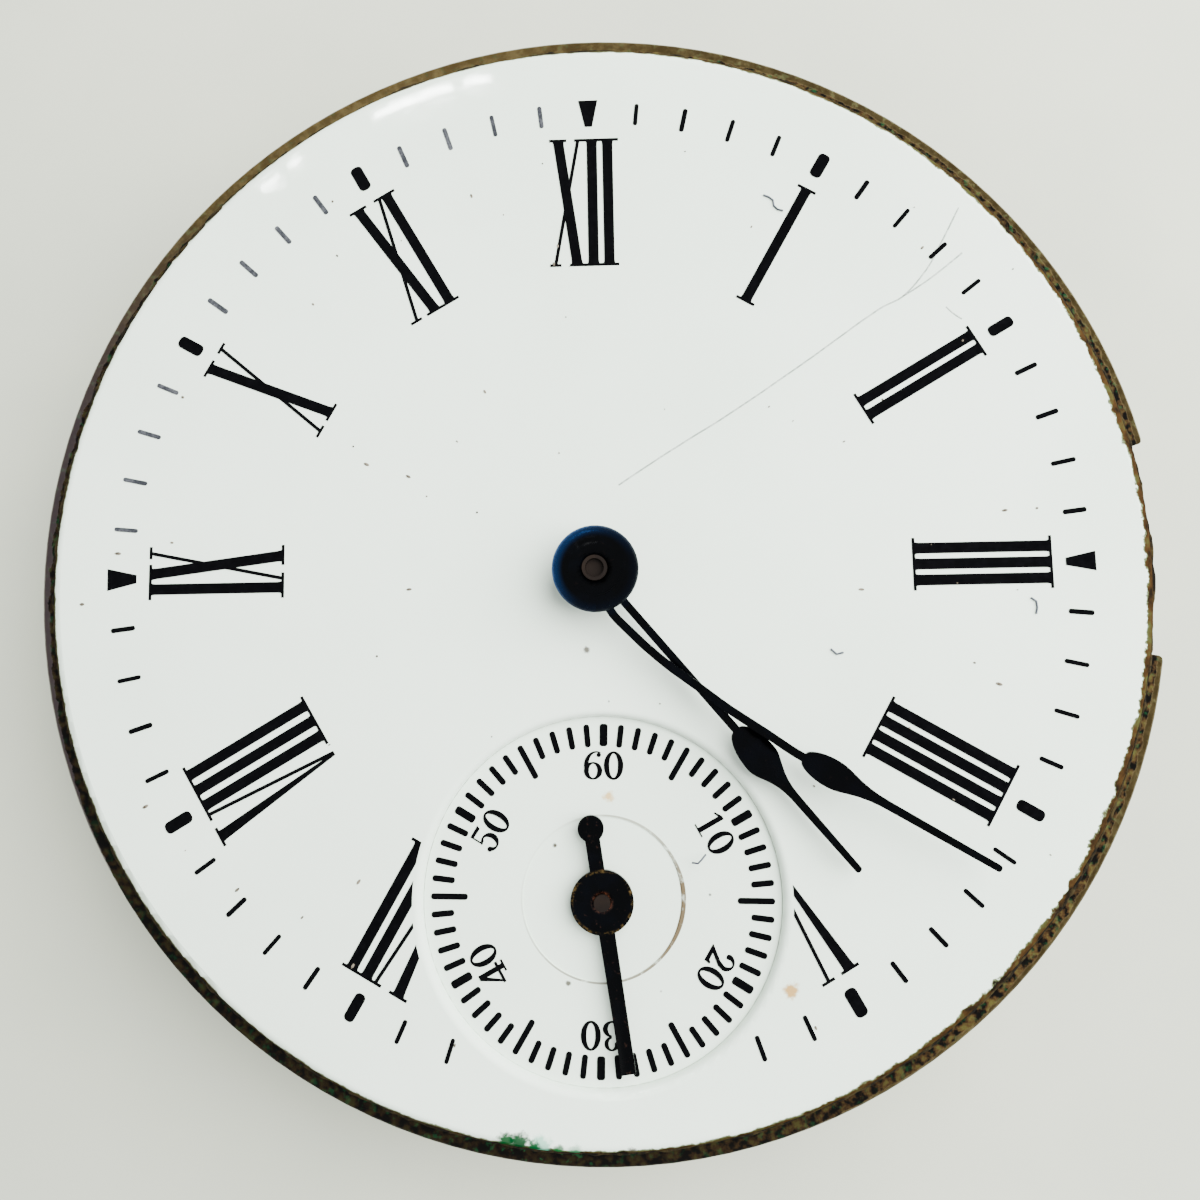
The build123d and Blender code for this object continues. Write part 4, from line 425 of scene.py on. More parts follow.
@dataclass(frozen=True)
class Sunray(Finish):
    """A polished metal with lines that run out from, or round, one centre."""

    tone: Colour
    shade: Colour
    centre: Spot = (0.0, 0.0)
    rings: float = 0.0
    rays: float = 90.0
    roughness: float = 0.2
    relief: float = 0.004

    def paint(self, graph: Graph) -> None:
        """Paint the brushed lines.

        Args:
            graph: The material's empty graph.
        """
        place = graph.place(self.centre)
        reach, turn = graph.polar(place)
        across, along = (reach, turn) if self.rings else (turn, reach)
        lines = {0: graph.times(across, self.rings or self.rays), 1: graph.times(along, 0.25)}
        brush = graph.noise(graph.add("ShaderNodeCombineXYZ", lines).outputs[0], 3.0, 3.0, 0.7)
        patches = graph.step(graph.noise(place, 0.8 / MM, 3.0), 0.4, 0.7)
        uneven = graph.scaled(patches, 0.08, self.roughness - 0.08)
        graph.surface(
            Base_Color=graph.mix(graph.step(brush, 0.35, 0.7), self.tone, self.shade),
            Metallic=1.0,
            Roughness=graph.scaled(brush, 0.2, uneven),
            Normal=graph.bump(brush, self.relief),
        )


@dataclass(frozen=True)
class PlateGilt(Finish):
    """Frosted gilding whose rim is worn, dirty and green, each side of it in its own way.

    The levels give how much of each there is by the clock bearing from six round by nine. Part of
    the rim's black is painted shade, heaviest at the bottom, and its grey outer edge at the lower
    left is a painted highlight.
    """

    tone: Colour = linear(214, 176, 104)
    shade: Colour = linear(186, 146, 80)
    # Black of the rim's dirt and of its painted shade.
    dirt: Colour = linear(9, 8, 7)
    rust: Colour = linear(76, 56, 32)
    olive: Colour = linear(92, 86, 44)
    # Grey of the painted highlight on the rim's outer edge.
    grey: Colour = linear(84, 74, 80)
    worn: Colour = linear(72, 63, 43)
    brassy: Colour = linear(106, 94, 64)
    green: Colour = linear(30, 92, 54)
    rim_from: float = 21.05
    rim_to: float = 21.59
    # Reach of the dirt from the inner edge, and of painted shade that blackens the rim towards six.
    inner_dirt_and_shade: Levels = (
        (0.0, 1.3), (0.05, 1.3), (0.13, 1.1), (0.19, 0.75), (0.24, 0.5), (0.32, 0.4),
        (0.4, 0.18), (0.46, 0.1), (0.52, 0.2), (0.57, 0.42), (0.66, 0.5), (0.74, 0.5),
        (0.8, 0.5), (0.88, 0.66), (0.94, 0.9), (1.0, 1.3),
    )
    outer_line: Levels = (
        (0.0, 0.9), (0.1, 0.4), (0.2, 0.2), (0.35, 0.2), (0.5, 0.3), (0.7, 0.5), (0.8, 0.9),
        (1.0, 0.9),
    )
    # Painted highlight: grey laid on the rim at the lower left, seen as its bright outer edge.
    painted_edge_highlight: Levels = (
        (0.0, 0.0), (0.07, 0.5), (0.12, 0.9), (0.3, 0.85), (0.37, 0.0), (1.0, 0.0),
    )
    growing: Levels = (
        (0.0, 0.1), (0.015, 0.5), (0.035, 0.2), (0.2, 0.06), (0.3, 0.3), (0.45, 0.2),
        (0.6, 0.3), (0.9, 0.15), (1.0, 0.1),
    )
    rusty: Levels = (
        (0.0, 0.1), (0.3, 0.2), (0.5, 0.8), (0.6, 0.4), (0.78, 0.5), (0.88, 0.6), (0.94, 0.3),
        (1.0, 0.1),
    )

    def dirt_and_shade_mask(self, graph: Graph, reach: Any, turn: Any, ragged: Any, on_rim: Any) -> Socket:
        """Mask the dirt that creeps out from the dial, with painted shade that blackens the rim
        towards the bottom, and the dark line along the edge.

        Args:
            graph: The material's graph.
            reach: The distance's socket.
            turn: The bearing's socket.
            ragged: A noise socket that breaks the dirt's edge.
            on_rim: The rim's mask.

        Returns:
            The mask's socket.
        """
        width = self.rim_to - self.rim_from
        edge = graph.math("DIVIDE", graph.minus(reach, self.rim_from), width, clamp=True)
        # Dirt and painted shade: wherever the level by bearing passes the place across the rim, the
        # rim turns black.
        inner = graph.minus(graph.levels(turn, self.inner_dirt_and_shade), edge)
        dirt = graph.step(graph.plus(inner, graph.centred(ragged, 0.8)), -0.06, 0.06)
        line = graph.times(graph.levels(turn, self.outer_line), graph.step(edge, 0.86, 0.93))
        return graph.larger(graph.times(dirt, on_rim), line)

    def paint(self, graph: Graph) -> None:
        """Paint the gilding, and the rim's wear, dirt, rust and growth over it.

        Args:
            graph: The material's empty graph.
        """
        place = graph.place()
        reach, turn = graph.polar(place)
        grain = graph.noise(place, 14.0 / MM, 2.0, 0.75)
        patches = graph.step(graph.noise(place, 0.35 / MM, 5.0, 0.6), 0.4, 0.66)
        ragged = graph.noise(place, 1.6 / MM, 6.0, 0.68)
        on_rim = graph.step(reach, self.rim_from - 0.4, self.rim_from - 0.1)
        # Dirt and painted shade, darkest towards the bottom.
        black = self.dirt_and_shade_mask(graph, reach, turn, ragged, on_rim)
        # Painted highlight: grey on the rim's outer side at the lower left.
        pale = graph.times(graph.levels(turn, self.painted_edge_highlight), on_rim)
        fine = graph.step(graph.noise(place, 3.1 / MM, 4.0, 0.6), 0.54, 0.64)
        growth = graph.times(fine, graph.times(graph.levels(turn, self.growing), on_rim))
        hues = [(0.3, self.dirt), (0.44, self.dirt), (0.55, self.rust), (0.66, self.olive)]
        hue = graph.ramp(graph.noise(place, 3.4 / MM, 4.0), hues)
        soiled = graph.mix(graph.levels(turn, self.rusty), self.dirt, hue)
        rubbed = graph.step(graph.noise(place, 2.4 / MM, 4.0), 0.4, 0.66)
        brassy = graph.mix(rubbed, self.worn, self.brassy)
        colour = graph.mix(patches, self.tone, self.shade)
        colour = graph.mix(graph.times(on_rim, 0.9), colour, brassy)
        colour = graph.mix(pale, colour, self.grey)
        colour = graph.mix(black, colour, soiled)
        colour = graph.mix(growth, colour, self.green)
        cover = graph.larger(black, growth)
        graph.surface(
            Base_Color=colour,
            Metallic=graph.minus(1.0, graph.times(cover, 0.9)),
            Specular_IOR_Level=graph.scaled(cover, -0.42, 0.5),
            Roughness=graph.scaled(cover, 0.3, graph.scaled(grain, 0.2, 0.26)),
            Normal=graph.bump(graph.scaled(cover, 2.0, grain), 0.008),
        )


@dataclass(frozen=True)
class Enamel(Finish):
    """Fired white enamel: glossy, nearly even, with stains, a soiled edge or a worn ring.

    The levels give widths and strengths by the clock bearing from six round by nine.
    """

    tone: Colour = linear(231, 245, 230)
    shade: Colour = linear(224, 239, 223)
    centre: Spot = (0.0, 0.0)
    stains: tuple[Stain, ...] = ()
    edge: float = 0.0
    tinge: Colour = linear(66, 76, 30)
    edge_hues: tuple[tuple[float, Colour], ...] = (
        (0.35, linear(22, 18, 13)), (0.52, linear(54, 38, 20)), (0.64, linear(58, 60, 32)),
    )
    edge_width: Levels = (
        (0.0, 0.22), (0.06, 0.2), (0.14, 0.14), (0.30, 0.2), (0.42, 0.12), (0.55, 0.22),
        (0.66, 0.3), (0.70, 0.46), (0.79, 0.46), (0.86, 0.46), (0.93, 0.32), (1.0, 0.22),
    )
    ring: float = 0.0
    ring_half: float = 0.11
    ring_tone: Colour = linear(80, 60, 30)
    ring_width: Levels = (
        (0.0, 0.4), (0.2, 0.3), (0.5, 0.35), (0.66, 0.5), (0.72, 0.95), (0.8, 0.95),
        (0.87, 0.5), (1.0, 0.4),
    )
    ring_side: Levels = (
        (0.0, 0.75), (0.1, 0.65), (0.2, 0.3), (0.3, 0.12), (0.42, 0.12), (0.5, 0.6),
        (0.6, 0.65), (0.72, 0.95), (0.85, 0.95), (1.0, 0.75),
    )
    roughness: float = 0.06

    def soiled_edge(
        self, graph: Graph, reach: Any, turn: Any, ragged: Any
    ) -> tuple[Socket, Socket]:
        """Mask the dirt along the outer edge and the tinge that runs ahead of it.

        Args:
            graph: The material's graph.
            reach: The distance's socket.
            turn: The bearing's socket.
            ragged: A noise socket that breaks the dirt's edge.

        Returns:
            The dirt's and the tinge's sockets.
        """
        width = graph.levels(turn, self.edge_width)
        inward = graph.minus(self.edge, reach)
        soiled = graph.minus(graph.times(width, graph.times(ragged, 1.4)), inward)
        return graph.step(soiled, -0.02, 0.04), graph.step(soiled, -0.06, -0.02)

    def worn_ring(self, graph: Graph, reach: Any, turn: Any, ragged: Any) -> Socket:
        """Mask the worn line round the middle.

        Args:
            graph: The material's graph.
            reach: The distance's socket.
            turn: The bearing's socket.
            ragged: A noise socket that breaks the line.

        Returns:
            The mask's socket.
        """
        band = graph.math("ABSOLUTE", graph.minus(reach, self.ring))
        half = graph.times(graph.levels(turn, self.ring_width), self.ring_half)
        line = graph.step(graph.math("DIVIDE", band, half), 1.0, 0.7)
        side = graph.times(graph.levels(turn, self.ring_side), graph.step(ragged, 0.2, 0.5))
        return graph.times(line, side)

    @staticmethod
    def dulled(graph: Graph, dull: Any, clean: float, drop: float) -> Any:
        """Let a clean surface's value drop where it is dull, if it is so anywhere."""
        return clean if dull is None else graph.scaled(dull, -drop, clean)

    def paint(self, graph: Graph) -> None:
        """Paint the white, and its edge, ring and stains over it.

        Args:
            graph: The material's empty graph.
        """
        whole = graph.place()
        reach, turn = graph.polar(graph.place(self.centre))
        slow = graph.step(graph.noise(whole, 0.09 / MM, 3.0), 0.35, 0.7)
        ragged = graph.noise(whole, 2.1 / MM, 6.0, 0.66)
        colour = graph.mix(slow, self.tone, self.shade)
        rough: Any = self.roughness
        dull: Any = None
        if self.edge:
            dirt, tinge = self.soiled_edge(graph, reach, turn, ragged)
            hue = graph.ramp(graph.noise(whole, 1.3 / MM, 4.0), self.edge_hues)
            colour = graph.mix(graph.times(tinge, 0.94), colour, self.tinge)
            colour = graph.mix(dirt, colour, hue)
            rough = graph.scaled(dirt, 0.4, self.roughness)
            dull = graph.larger(dirt, graph.times(tinge, 0.8))
        if self.ring:
            worn = self.worn_ring(graph, reach, turn, ragged)
            colour = graph.mix(worn, colour, self.ring_tone)
            dull = graph.times(worn, 0.8)
        for stain in self.stains:
            patch = graph.times(graph.near(whole, stain.spot, stain.radius, ragged), stain.share)
            colour = graph.mix(patch, colour, stain.colour)
            dull = patch if dull is None else graph.larger(dull, patch)
        graph.surface(
            Base_Color=colour,
            Roughness=rough,
            IOR=self.dulled(graph, dull, 1.52, 0.5),
            Specular_IOR_Level=self.dulled(graph, dull, 0.5, 0.48),
            Coat_Weight=self.dulled(graph, dull, 0.6, 0.6),
            Coat_Roughness=0.03,
            Normal=graph.bump(graph.noise(whole, 0.5 / MM, 2.0), 0.01),
        )


@dataclass(frozen=True)
class Ink(Finish):
    """Fired black painting with a slightly uneven colour."""

    tone: Colour = linear(2, 2, 3)
    shade: Colour = linear(6, 6, 8)
    roughness: float = 0.5

    def paint(self, graph: Graph) -> None:
        """Paint the ink.

        Args:
            graph: The material's empty graph.
        """
        fine = graph.step(graph.noise(graph.place(), 4.0 / MM, 4.0, 0.7), 0.4, 0.75)
        graph.surface(
            Base_Color=graph.mix(fine, self.tone, self.shade),
            Roughness=graph.scaled(fine, 0.2, self.roughness),
            Specular_IOR_Level=0.06,
        )


@dataclass(frozen=True)
class Blued(Finish):
    """Blued steel gone nearly black, with turned rings and specks of rust.

    A boss has a painted blue highlight along its rim, strongest on the left and upper left, or a
    worn brassy ring if its radius is given.
    """

    centre: Spot = (0.0, 0.0)
    rings_to: float = 1.57
    hole: float = 0.45
    brassy: float = 0.0
    rusted: float = 0.06
    tone: Colour = linear(9, 10, 13)
    bright: Colour = linear(11, 14, 21)
    # Colour of the painted highlight along a boss's rim.
    painted_highlight_blue: Colour = linear(22, 58, 108)
    brass: Colour = linear(122, 98, 56)
    rust: Colour = linear(88, 46, 24)
    # Strength of the painted highlight by the clock bearing from six round by nine.
    highlight_by_bearing: Levels = ((0.08, 0.1), (0.22, 0.9), (0.42, 1.0), (0.55, 0.3), (0.7, 0.05))

    def paint(self, graph: Graph) -> None:
        """Paint the steel, its painted highlight or brassy ring, and the rust.

        Args:
            graph: The material's empty graph.
        """
        place = graph.place(self.centre)
        reach, turn = graph.polar(place)
        patches = graph.step(graph.noise(place, 0.7 / MM, 3.0), 0.45, 0.66)
        colour = graph.mix(patches, self.tone, self.bright)
        fine = graph.noise(place, 5.0 / MM, 5.0, 0.7)
        rust = graph.times(graph.step(fine, 0.60, 0.72), self.rusted)
        if self.brassy:
            eye = graph.step(reach, self.hole + 0.14, self.hole)
            eye = graph.times(eye, graph.step(fine, 0.4, 0.6))
            rust = graph.larger(rust, graph.times(eye, 0.7))
            worn = graph.math("ABSOLUTE", graph.minus(reach, self.brassy))
            bare = graph.times(graph.step(worn, 0.08, 0.02), graph.step(fine, 0.46, 0.64))
            colour = graph.mix(bare, colour, self.brass)
        else:
            # Painted highlight: a blue reflection laid along the boss's rim, weighted by bearing.
            outer = graph.step(reach, self.rings_to - 0.42, self.rings_to - 0.1)
            rim = graph.times(outer, graph.step(reach, self.rings_to + 0.3, self.rings_to + 0.1))
            colour = graph.mix(graph.times(rim, graph.levels(turn, self.highlight_by_bearing)), colour, self.painted_highlight_blue)
        colour = graph.mix(rust, colour, self.rust)
        turned = graph.math("SINE", graph.times(reach, 30.0))
        rings = graph.times(turned, graph.step(reach, self.rings_to, self.rings_to - 0.08))
        graph.surface(
            Base_Color=colour,
            Metallic=graph.minus(1.0, rust),
            Roughness=graph.scaled(fine, 0.22, 0.16),
            Normal=graph.bump(graph.scaled(rings, 0.6, fine), 0.007),
            Coat_Weight=0.12,
            Coat_Roughness=0.2,
        )


@dataclass(frozen=True)
class Jewel(Finish):
    """A clear red jewel with a slight cloud in it."""

    tone: Colour = linear(206, 32, 70)
    shade: Colour = linear(150, 14, 46)

    def paint(self, graph: Graph) -> None:
        """Paint the jewel.

        Args:
            graph: The material's empty graph.
        """
        cloud = graph.step(graph.noise(graph.place(), 1.5 / MM, 2.0), 0.3, 0.7)
        graph.surface(
            Base_Color=graph.mix(cloud, self.tone, self.shade),
            Roughness=graph.scaled(cloud, 0.05, 0.03),
            IOR=1.76,
            Transmission_Weight=0.55,
        )


@dataclass(frozen=True)
class Crust(Finish):
    """Rough dirt or dust of two colours."""

    tone: Colour
    shade: Colour
    scale: float = 2.0

    def paint(self, graph: Graph) -> None:
        """Paint the dirt.

        Args:
            graph: The material's empty graph.
        """
        fine = graph.noise(graph.place(), self.scale / MM, 5.0, 0.7)
        graph.surface(
            Base_Color=graph.mix(graph.step(fine, 0.4, 0.62), self.tone, self.shade),
            Roughness=graph.scaled(fine, 0.3, 0.5),
            Specular_IOR_Level=0.1,
            Normal=graph.bump(fine, 0.03),
        )


@dataclass(frozen=True)
class Ground(Finish):
    """The pale cloth that the movement lies on."""

    tone: Colour = linear(196, 200, 182)
    shade: Colour = linear(187, 192, 175)

    def paint(self, graph: Graph) -> None:
        """Paint the cloth.

        Args:
            graph: The material's empty graph.
        """
        slow = graph.step(graph.noise(graph.place(), 0.05 / MM, 4.0), 0.3, 0.7)
        graph.surface(Base_Color=graph.mix(slow, self.tone, self.shade), Roughness=0.7)


class Palette:
    """The materials, each made once."""

    def __init__(self) -> None:
        """Start with no materials."""
        self._made: dict[Finish, bpy.types.Material] = {}

    def of(self, finish: Finish) -> bpy.types.Material:
        """Give a finish's material, making it the first time.

        Args:
            finish: The finish.

        Returns:
            Its material.
        """
        if finish not in self._made:
            self._made[finish] = finish.make()
        return self._made[finish]


GILT = PlateGilt("frosted_gilt")
BRASS = Metal("wheel_brass", linear(222, 184, 106), linear(204, 160, 84), 0.24, 5.0)
DARK_BRASS = Metal("barrel_brass", linear(206, 166, 92), linear(182, 138, 70), 0.32, 9.0)
PIPE_BRASS = Metal(
    "soiled_brass", linear(222, 184, 106), linear(204, 160, 84), 0.26, soiled_above=8.0
)
SETTING_GOLD = Metal("setting_gold", linear(232, 192, 110), linear(214, 168, 88), 0.18, 4.0)
STEEL = Metal("polished_steel", linear(206, 206, 210), linear(184, 186, 192), 0.16, 4.0)
GREY_STEEL = Metal("grey_steel", linear(168, 168, 172), linear(140, 140, 146), 0.34, 8.0)
SPRING_STEEL = Metal("spring_steel", linear(96, 106, 140), linear(70, 80, 118), 0.22, 6.0)
SCREW_STEEL = Metal("screw_steel", linear(190, 192, 200), linear(150, 154, 168), 0.18, 7.0)
DARK_STEEL = Metal(
    "soiled_steel", linear(168, 168, 172), linear(140, 140, 146), 0.3, soiled_above=8.2
)
COPPER = Metal(
    "dial_copper", linear(184, 118, 84), linear(120, 74, 50), 0.5, 6.0, soiled_beyond=20.6
)
INK = Ink("fired_black")
FAINT_INK = Ink("faint_black", linear(44, 46, 50), linear(84, 86, 90))
RUBY = Jewel("ruby")
COUNTER = Enamel("counter_enamel", linear(176, 182, 186), linear(150, 156, 162))
GRIME = Crust("edge_grime", linear(17, 15, 12), linear(50, 42, 24))
DUST = Crust("dust", linear(120, 112, 98), linear(64, 58, 50), 6.0)
FIBRE = Crust("fibre", linear(92, 96, 104), linear(60, 62, 70), 2.0)
CRACK = Crust("crack_dirt", linear(140, 152, 142), linear(186, 194, 186), 3.0)
FLOOR = Ground("floor_pale")


def plain_mesh(source: bpy.types.Object) -> bpy.types.Mesh:
    """Evaluate an object's modifiers into a mesh of its own.

    Args:
        source: The object.

    Returns:
        The evaluated mesh.
    """
    graph = bpy.context.evaluated_depsgraph_get()
    return bpy.data.meshes.new_from_object(
        source.evaluated_get(graph), preserve_all_data_layers=True, depsgraph=graph
    )


def path_mesh(name: str, lines: Lines, height: float) -> bpy.types.Mesh:
    """Make a mesh of bare edges along some lines of the plan.

    Args:
        name: The mesh's name.
        lines: Each line's points in millimetres.
        height: Their height in millimetres.

    Returns:
        The mesh.
    """
    points: list[Point] = []
    edges: list[tuple[int, int]] = []
    for line in lines:
        start = len(points)
        points += [(x * MM, y * MM, height * MM) for x, y in line]
        edges += [(start + step, start + step + 1) for step in range(len(line) - 1)]
    mesh = bpy.data.meshes.new(name)
    mesh.from_pydata(points, edges, [])
    return mesh


class Growth(Graph):
    """A geometry node tree whose result becomes a plain mesh."""

    def __init__(self, name: str, **inputs: str) -> None:
        """Start an empty tree with named inputs.

        Args:
            name: The tree's name.
            **inputs: Each input's kind, Float or Int.
        """
        super().__init__(bpy.data.node_groups.new(name, "GeometryNodeTree"))
        for label, kind in {"Geometry": "Geometry", **inputs}.items():
            self.tree.interface.new_socket(
                label, in_out="INPUT", socket_type="NodeSocket" + kind
            )
        self.tree.interface.new_socket(
            "Geometry", in_out="OUTPUT", socket_type="NodeSocketGeometry"
        )
        self.given = self.add("NodeGroupInput").outputs

    def shape(self, kind: str, inputs: dict[Any, Any] | None = None, **settings: Any) -> Socket:
        """Add a geometry node by its short name and give its first output."""
        return self.add("GeometryNode" + kind, inputs, **settings).outputs[0]

    def vector(self, x: Any, y: Any, z: Any) -> Socket:
        """Join three numbers or sockets into a vector."""
        return self.add("ShaderNodeCombineXYZ", {0: x, 1: y, 2: z}).outputs[0]

    def random(self, low: float, high: float, shift: float = 0.0) -> Socket:
        """Add a random number for each element.

        Args:
            low: Least value.
            high: Greatest value.
            shift: What is added to the tree's seed.

        Returns:
            The number's socket.
        """
        seed = self.plus(self.given["Seed"], shift) if shift else self.given["Seed"]
        inputs = {2: low, 3: high, 8: seed}
        return self.add("FunctionNodeRandomValue", inputs, data_type="FLOAT").outputs[1]

    def chosen(self, index: Any, picks: Iterable[int]) -> Socket:
        """Tell whether an index is one of some numbers.

        Args:
            index: The index socket.
            picks: The numbers.

        Returns:
            A socket that is 1 for them and 0 for others.
        """
        total: Any = 0.0
        for pick in picks:
            total = self.plus(total, self.math("COMPARE", index, float(pick), 0.1))
        return total

    def row(self, count: Any, spot: Any) -> Socket:
        """Make points, each at its own spot."""
        line = self.shape("MeshLine", {"Count": count}, mode="OFFSET")
        return self.shape("SetPosition", {"Geometry": line, "Position": spot})

    def rectangle(self, width: Any, height: Any) -> Socket:
        """Draw a rectangle as a closed curve."""
        inputs = {"Width": width, "Height": height}
        return self.shape("CurvePrimitiveQuadrilateral", inputs, mode="RECTANGLE")

    def circle(self, steps: int, radius: Any) -> Socket:
        """Draw a circle as a closed curve of straight steps."""
        inputs = {"Resolution": steps, "Radius": radius}
        return self.shape("CurvePrimitiveCircle", inputs, mode="RADIUS")

    def cylinder(self, steps: int, size: Spot) -> Socket:
        """Make a closed cylinder by its radius and length in millimetres."""
        inputs = {"Vertices": steps, "Radius": size[0] * MM, "Depth": size[1] * MM}
        return self.shape("MeshCylinder", inputs, fill_type="NGON")

    def raised(self, geometry: Any, rise: float) -> Socket:
        """Move geometry upwards by some millimetres."""
        return self.shape(
            "Transform", {"Geometry": geometry, "Translation": (0.0, 0.0, rise * MM)}
        )

    def join(self, *parts: Any) -> Socket:
        """Join geometry.

        Args:
            *parts: The sockets to join.

        Returns:
            The joined socket.
        """
        both = self.add("GeometryNodeJoinGeometry")
        for part in parts:
            self.tree.links.new(part, both.inputs[0])
        return both.outputs[0]

    def slab(self, outline: Any, thickness: Any) -> Socket:
        """Make a closed slab upwards from a flat closed curve.

        Args:
            outline: The curve's socket.
            thickness: The slab's thickness in metres.

        Returns:
            The mesh's socket.
        """
        flat = self.shape("FillCurve", {0: outline})
        rise = self.vector(0.0, 0.0, thickness)
        inputs = {"Mesh": flat, "Offset": rise, "Individual": False}
        raised = self.shape("ExtrudeMesh", inputs, mode="FACES")
        both = self.join(raised, self.shape("FlipFaces", {0: flat}))
        return self.shape("MergeByDistance", {"Geometry": both, "Distance": 0.0005 * MM})

    def painted(self, geometry: Any, material: bpy.types.Material) -> Socket:
        """Realize instances and set their material."""
        solid = self.shape("RealizeInstances", {0: geometry})
        return self.shape("SetMaterial", {"Geometry": solid, "Material": material})

    def scatter(
        self, points: Any, instance: Any, material: bpy.types.Material, **inputs: Any
    ) -> Socket:
        """Put a shape on points and paint it.

        Args:
            points: The points' socket.
            instance: The shape's socket.
            material: Its material.
            **inputs: The instances' Selection, Rotation and Scale.

        Returns:
            The painted geometry's socket.
        """
        placed = self.shape("InstanceOnPoints", {"Points": points, "Instance": instance, **inputs})
        return self.painted(placed, material)

    def grow(
        self, result: Any, source: bpy.types.Mesh | None = None, **values: float
    ) -> bpy.types.Mesh:
        """Finish the tree, run it and keep its mesh.

        Args:
            result: The socket of the finished geometry.
            source: A mesh to start from, if the tree reads one.
            **values: The named inputs' values, lengths in metres.

        Returns:
            The plain mesh.
        """
        self.add("NodeGroupOutput", {0: result})
        name = self.tree.name
        base = bpy.data.objects.new(name, source or bpy.data.meshes.new(name))
        bpy.context.scene.collection.objects.link(base)
        modifier = base.modifiers.new("grow", "NODES")
        modifier.node_group = self.tree
        for item in self.tree.interface.items_tree:
            if item.in_out == "INPUT" and item.name in values:
                modifier[item.identifier] = values[item.name]
        mesh = plain_mesh(base)
        base.modifiers.remove(modifier)
        bpy.data.objects.remove(base)
        return mesh


@dataclass
class Assembly:
    """A sub-assembly that dresses its CAD nodes and adds its own pieces."""

    frame: dict[str, Any]
    palette: Palette

    def build(self) -> None:
        """Dress the nodes and add the pieces."""
        raise NotImplementedError

    def dress(self, finish: Finish, *nodes: str) -> None:
        """Give shown CAD nodes their material.

        Args:
            finish: The finish to use.
            *nodes: The CAD nodes' names.
        """
        material = self.palette.of(finish)
        for name in nodes:
            mesh = self.frame["nodes"][name].data
            mesh.materials.clear()
            mesh.materials.append(material)

    def add_piece(
        self, name: str, mesh: bpy.types.Mesh, body: Body, slot: Slot, *stands_for: str
    ) -> None:
        """Put a finished mesh in the scene on its body.

        Args:
            name: The piece's name.
            mesh: Its mesh, already in place.
            body: The body that it rides on.
            slot: The record's material slot; not used.
            *stands_for: CAD nodes that it replaces.
        """
        piece = bpy.data.objects.new(name, mesh)
        bpy.context.scene.collection.objects.link(piece)
        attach(piece, body.value)
        if stands_for:
            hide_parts(*stands_for)
        log.info("%s: %d faces", name, len(mesh.polygons))


@dataclass
class Plates(Assembly):
    """The plates, cocks, screws and jewels."""

    cock_centre: Spot = (-11.322, -0.813)
    cap_rings: float = 3.0

    def build(self) -> None:
        """Dress the plates."""
        bright, dull = linear(206, 208, 214), linear(178, 182, 190)
        cap = Sunray("cap_steel", bright, dull, self.cock_centre, self.cap_rings)
        self.dress(GILT, "pillar_plate", "three_quarter_plate", "pallet_cock", "balance_cock")
        self.dress(SCREW_STEEL, "plate_screws", "case_screws", "small_screws")
        self.dress(RUBY, "plate_jewels", "bridge_jewels")
        self.dress(SETTING_GOLD, "jewel_settings")
        self.dress(cap, "endstone_cap", "regulator")


@dataclass
class Train(Assembly):
    """The going train and the motion works under the dial."""

    rings: float = 5.0
    roughness: float = 0.24
    centres: tuple[tuple[str, Spot], ...] = (
        ("centre_wheel", (0.0, 0.0)),
        ("third_wheel", (3.816, -6.63)),
        ("fourth_wheel", (0.0, -12.0)),
        ("minute_wheel", (3.9, -1.2)),
        ("setting_wheel", (9.34, -1.2)),
    )

    def build(self) -> None:
        """Dress the wheels, pinions and barrel."""
        tone, shade = linear(224, 186, 108), linear(200, 158, 82)
        for node, centre in self.centres:
            turned = Sunray(
                "brass_of_" + node, tone, shade, centre, self.rings, roughness=self.roughness
            )
            self.dress(turned, node)
        self.dress(DARK_BRASS, "barrel_drum", "barrel_cover", "dial_washer")
        self.dress(PIPE_BRASS, "hour_wheel")
        self.dress(STEEL, "third_pinion", "escape_pinion")
        self.dress(DARK_STEEL, "centre_pinion", "fourth_pinion", "cannon_pinion")
        self.dress(SPRING_STEEL, "mainspring")


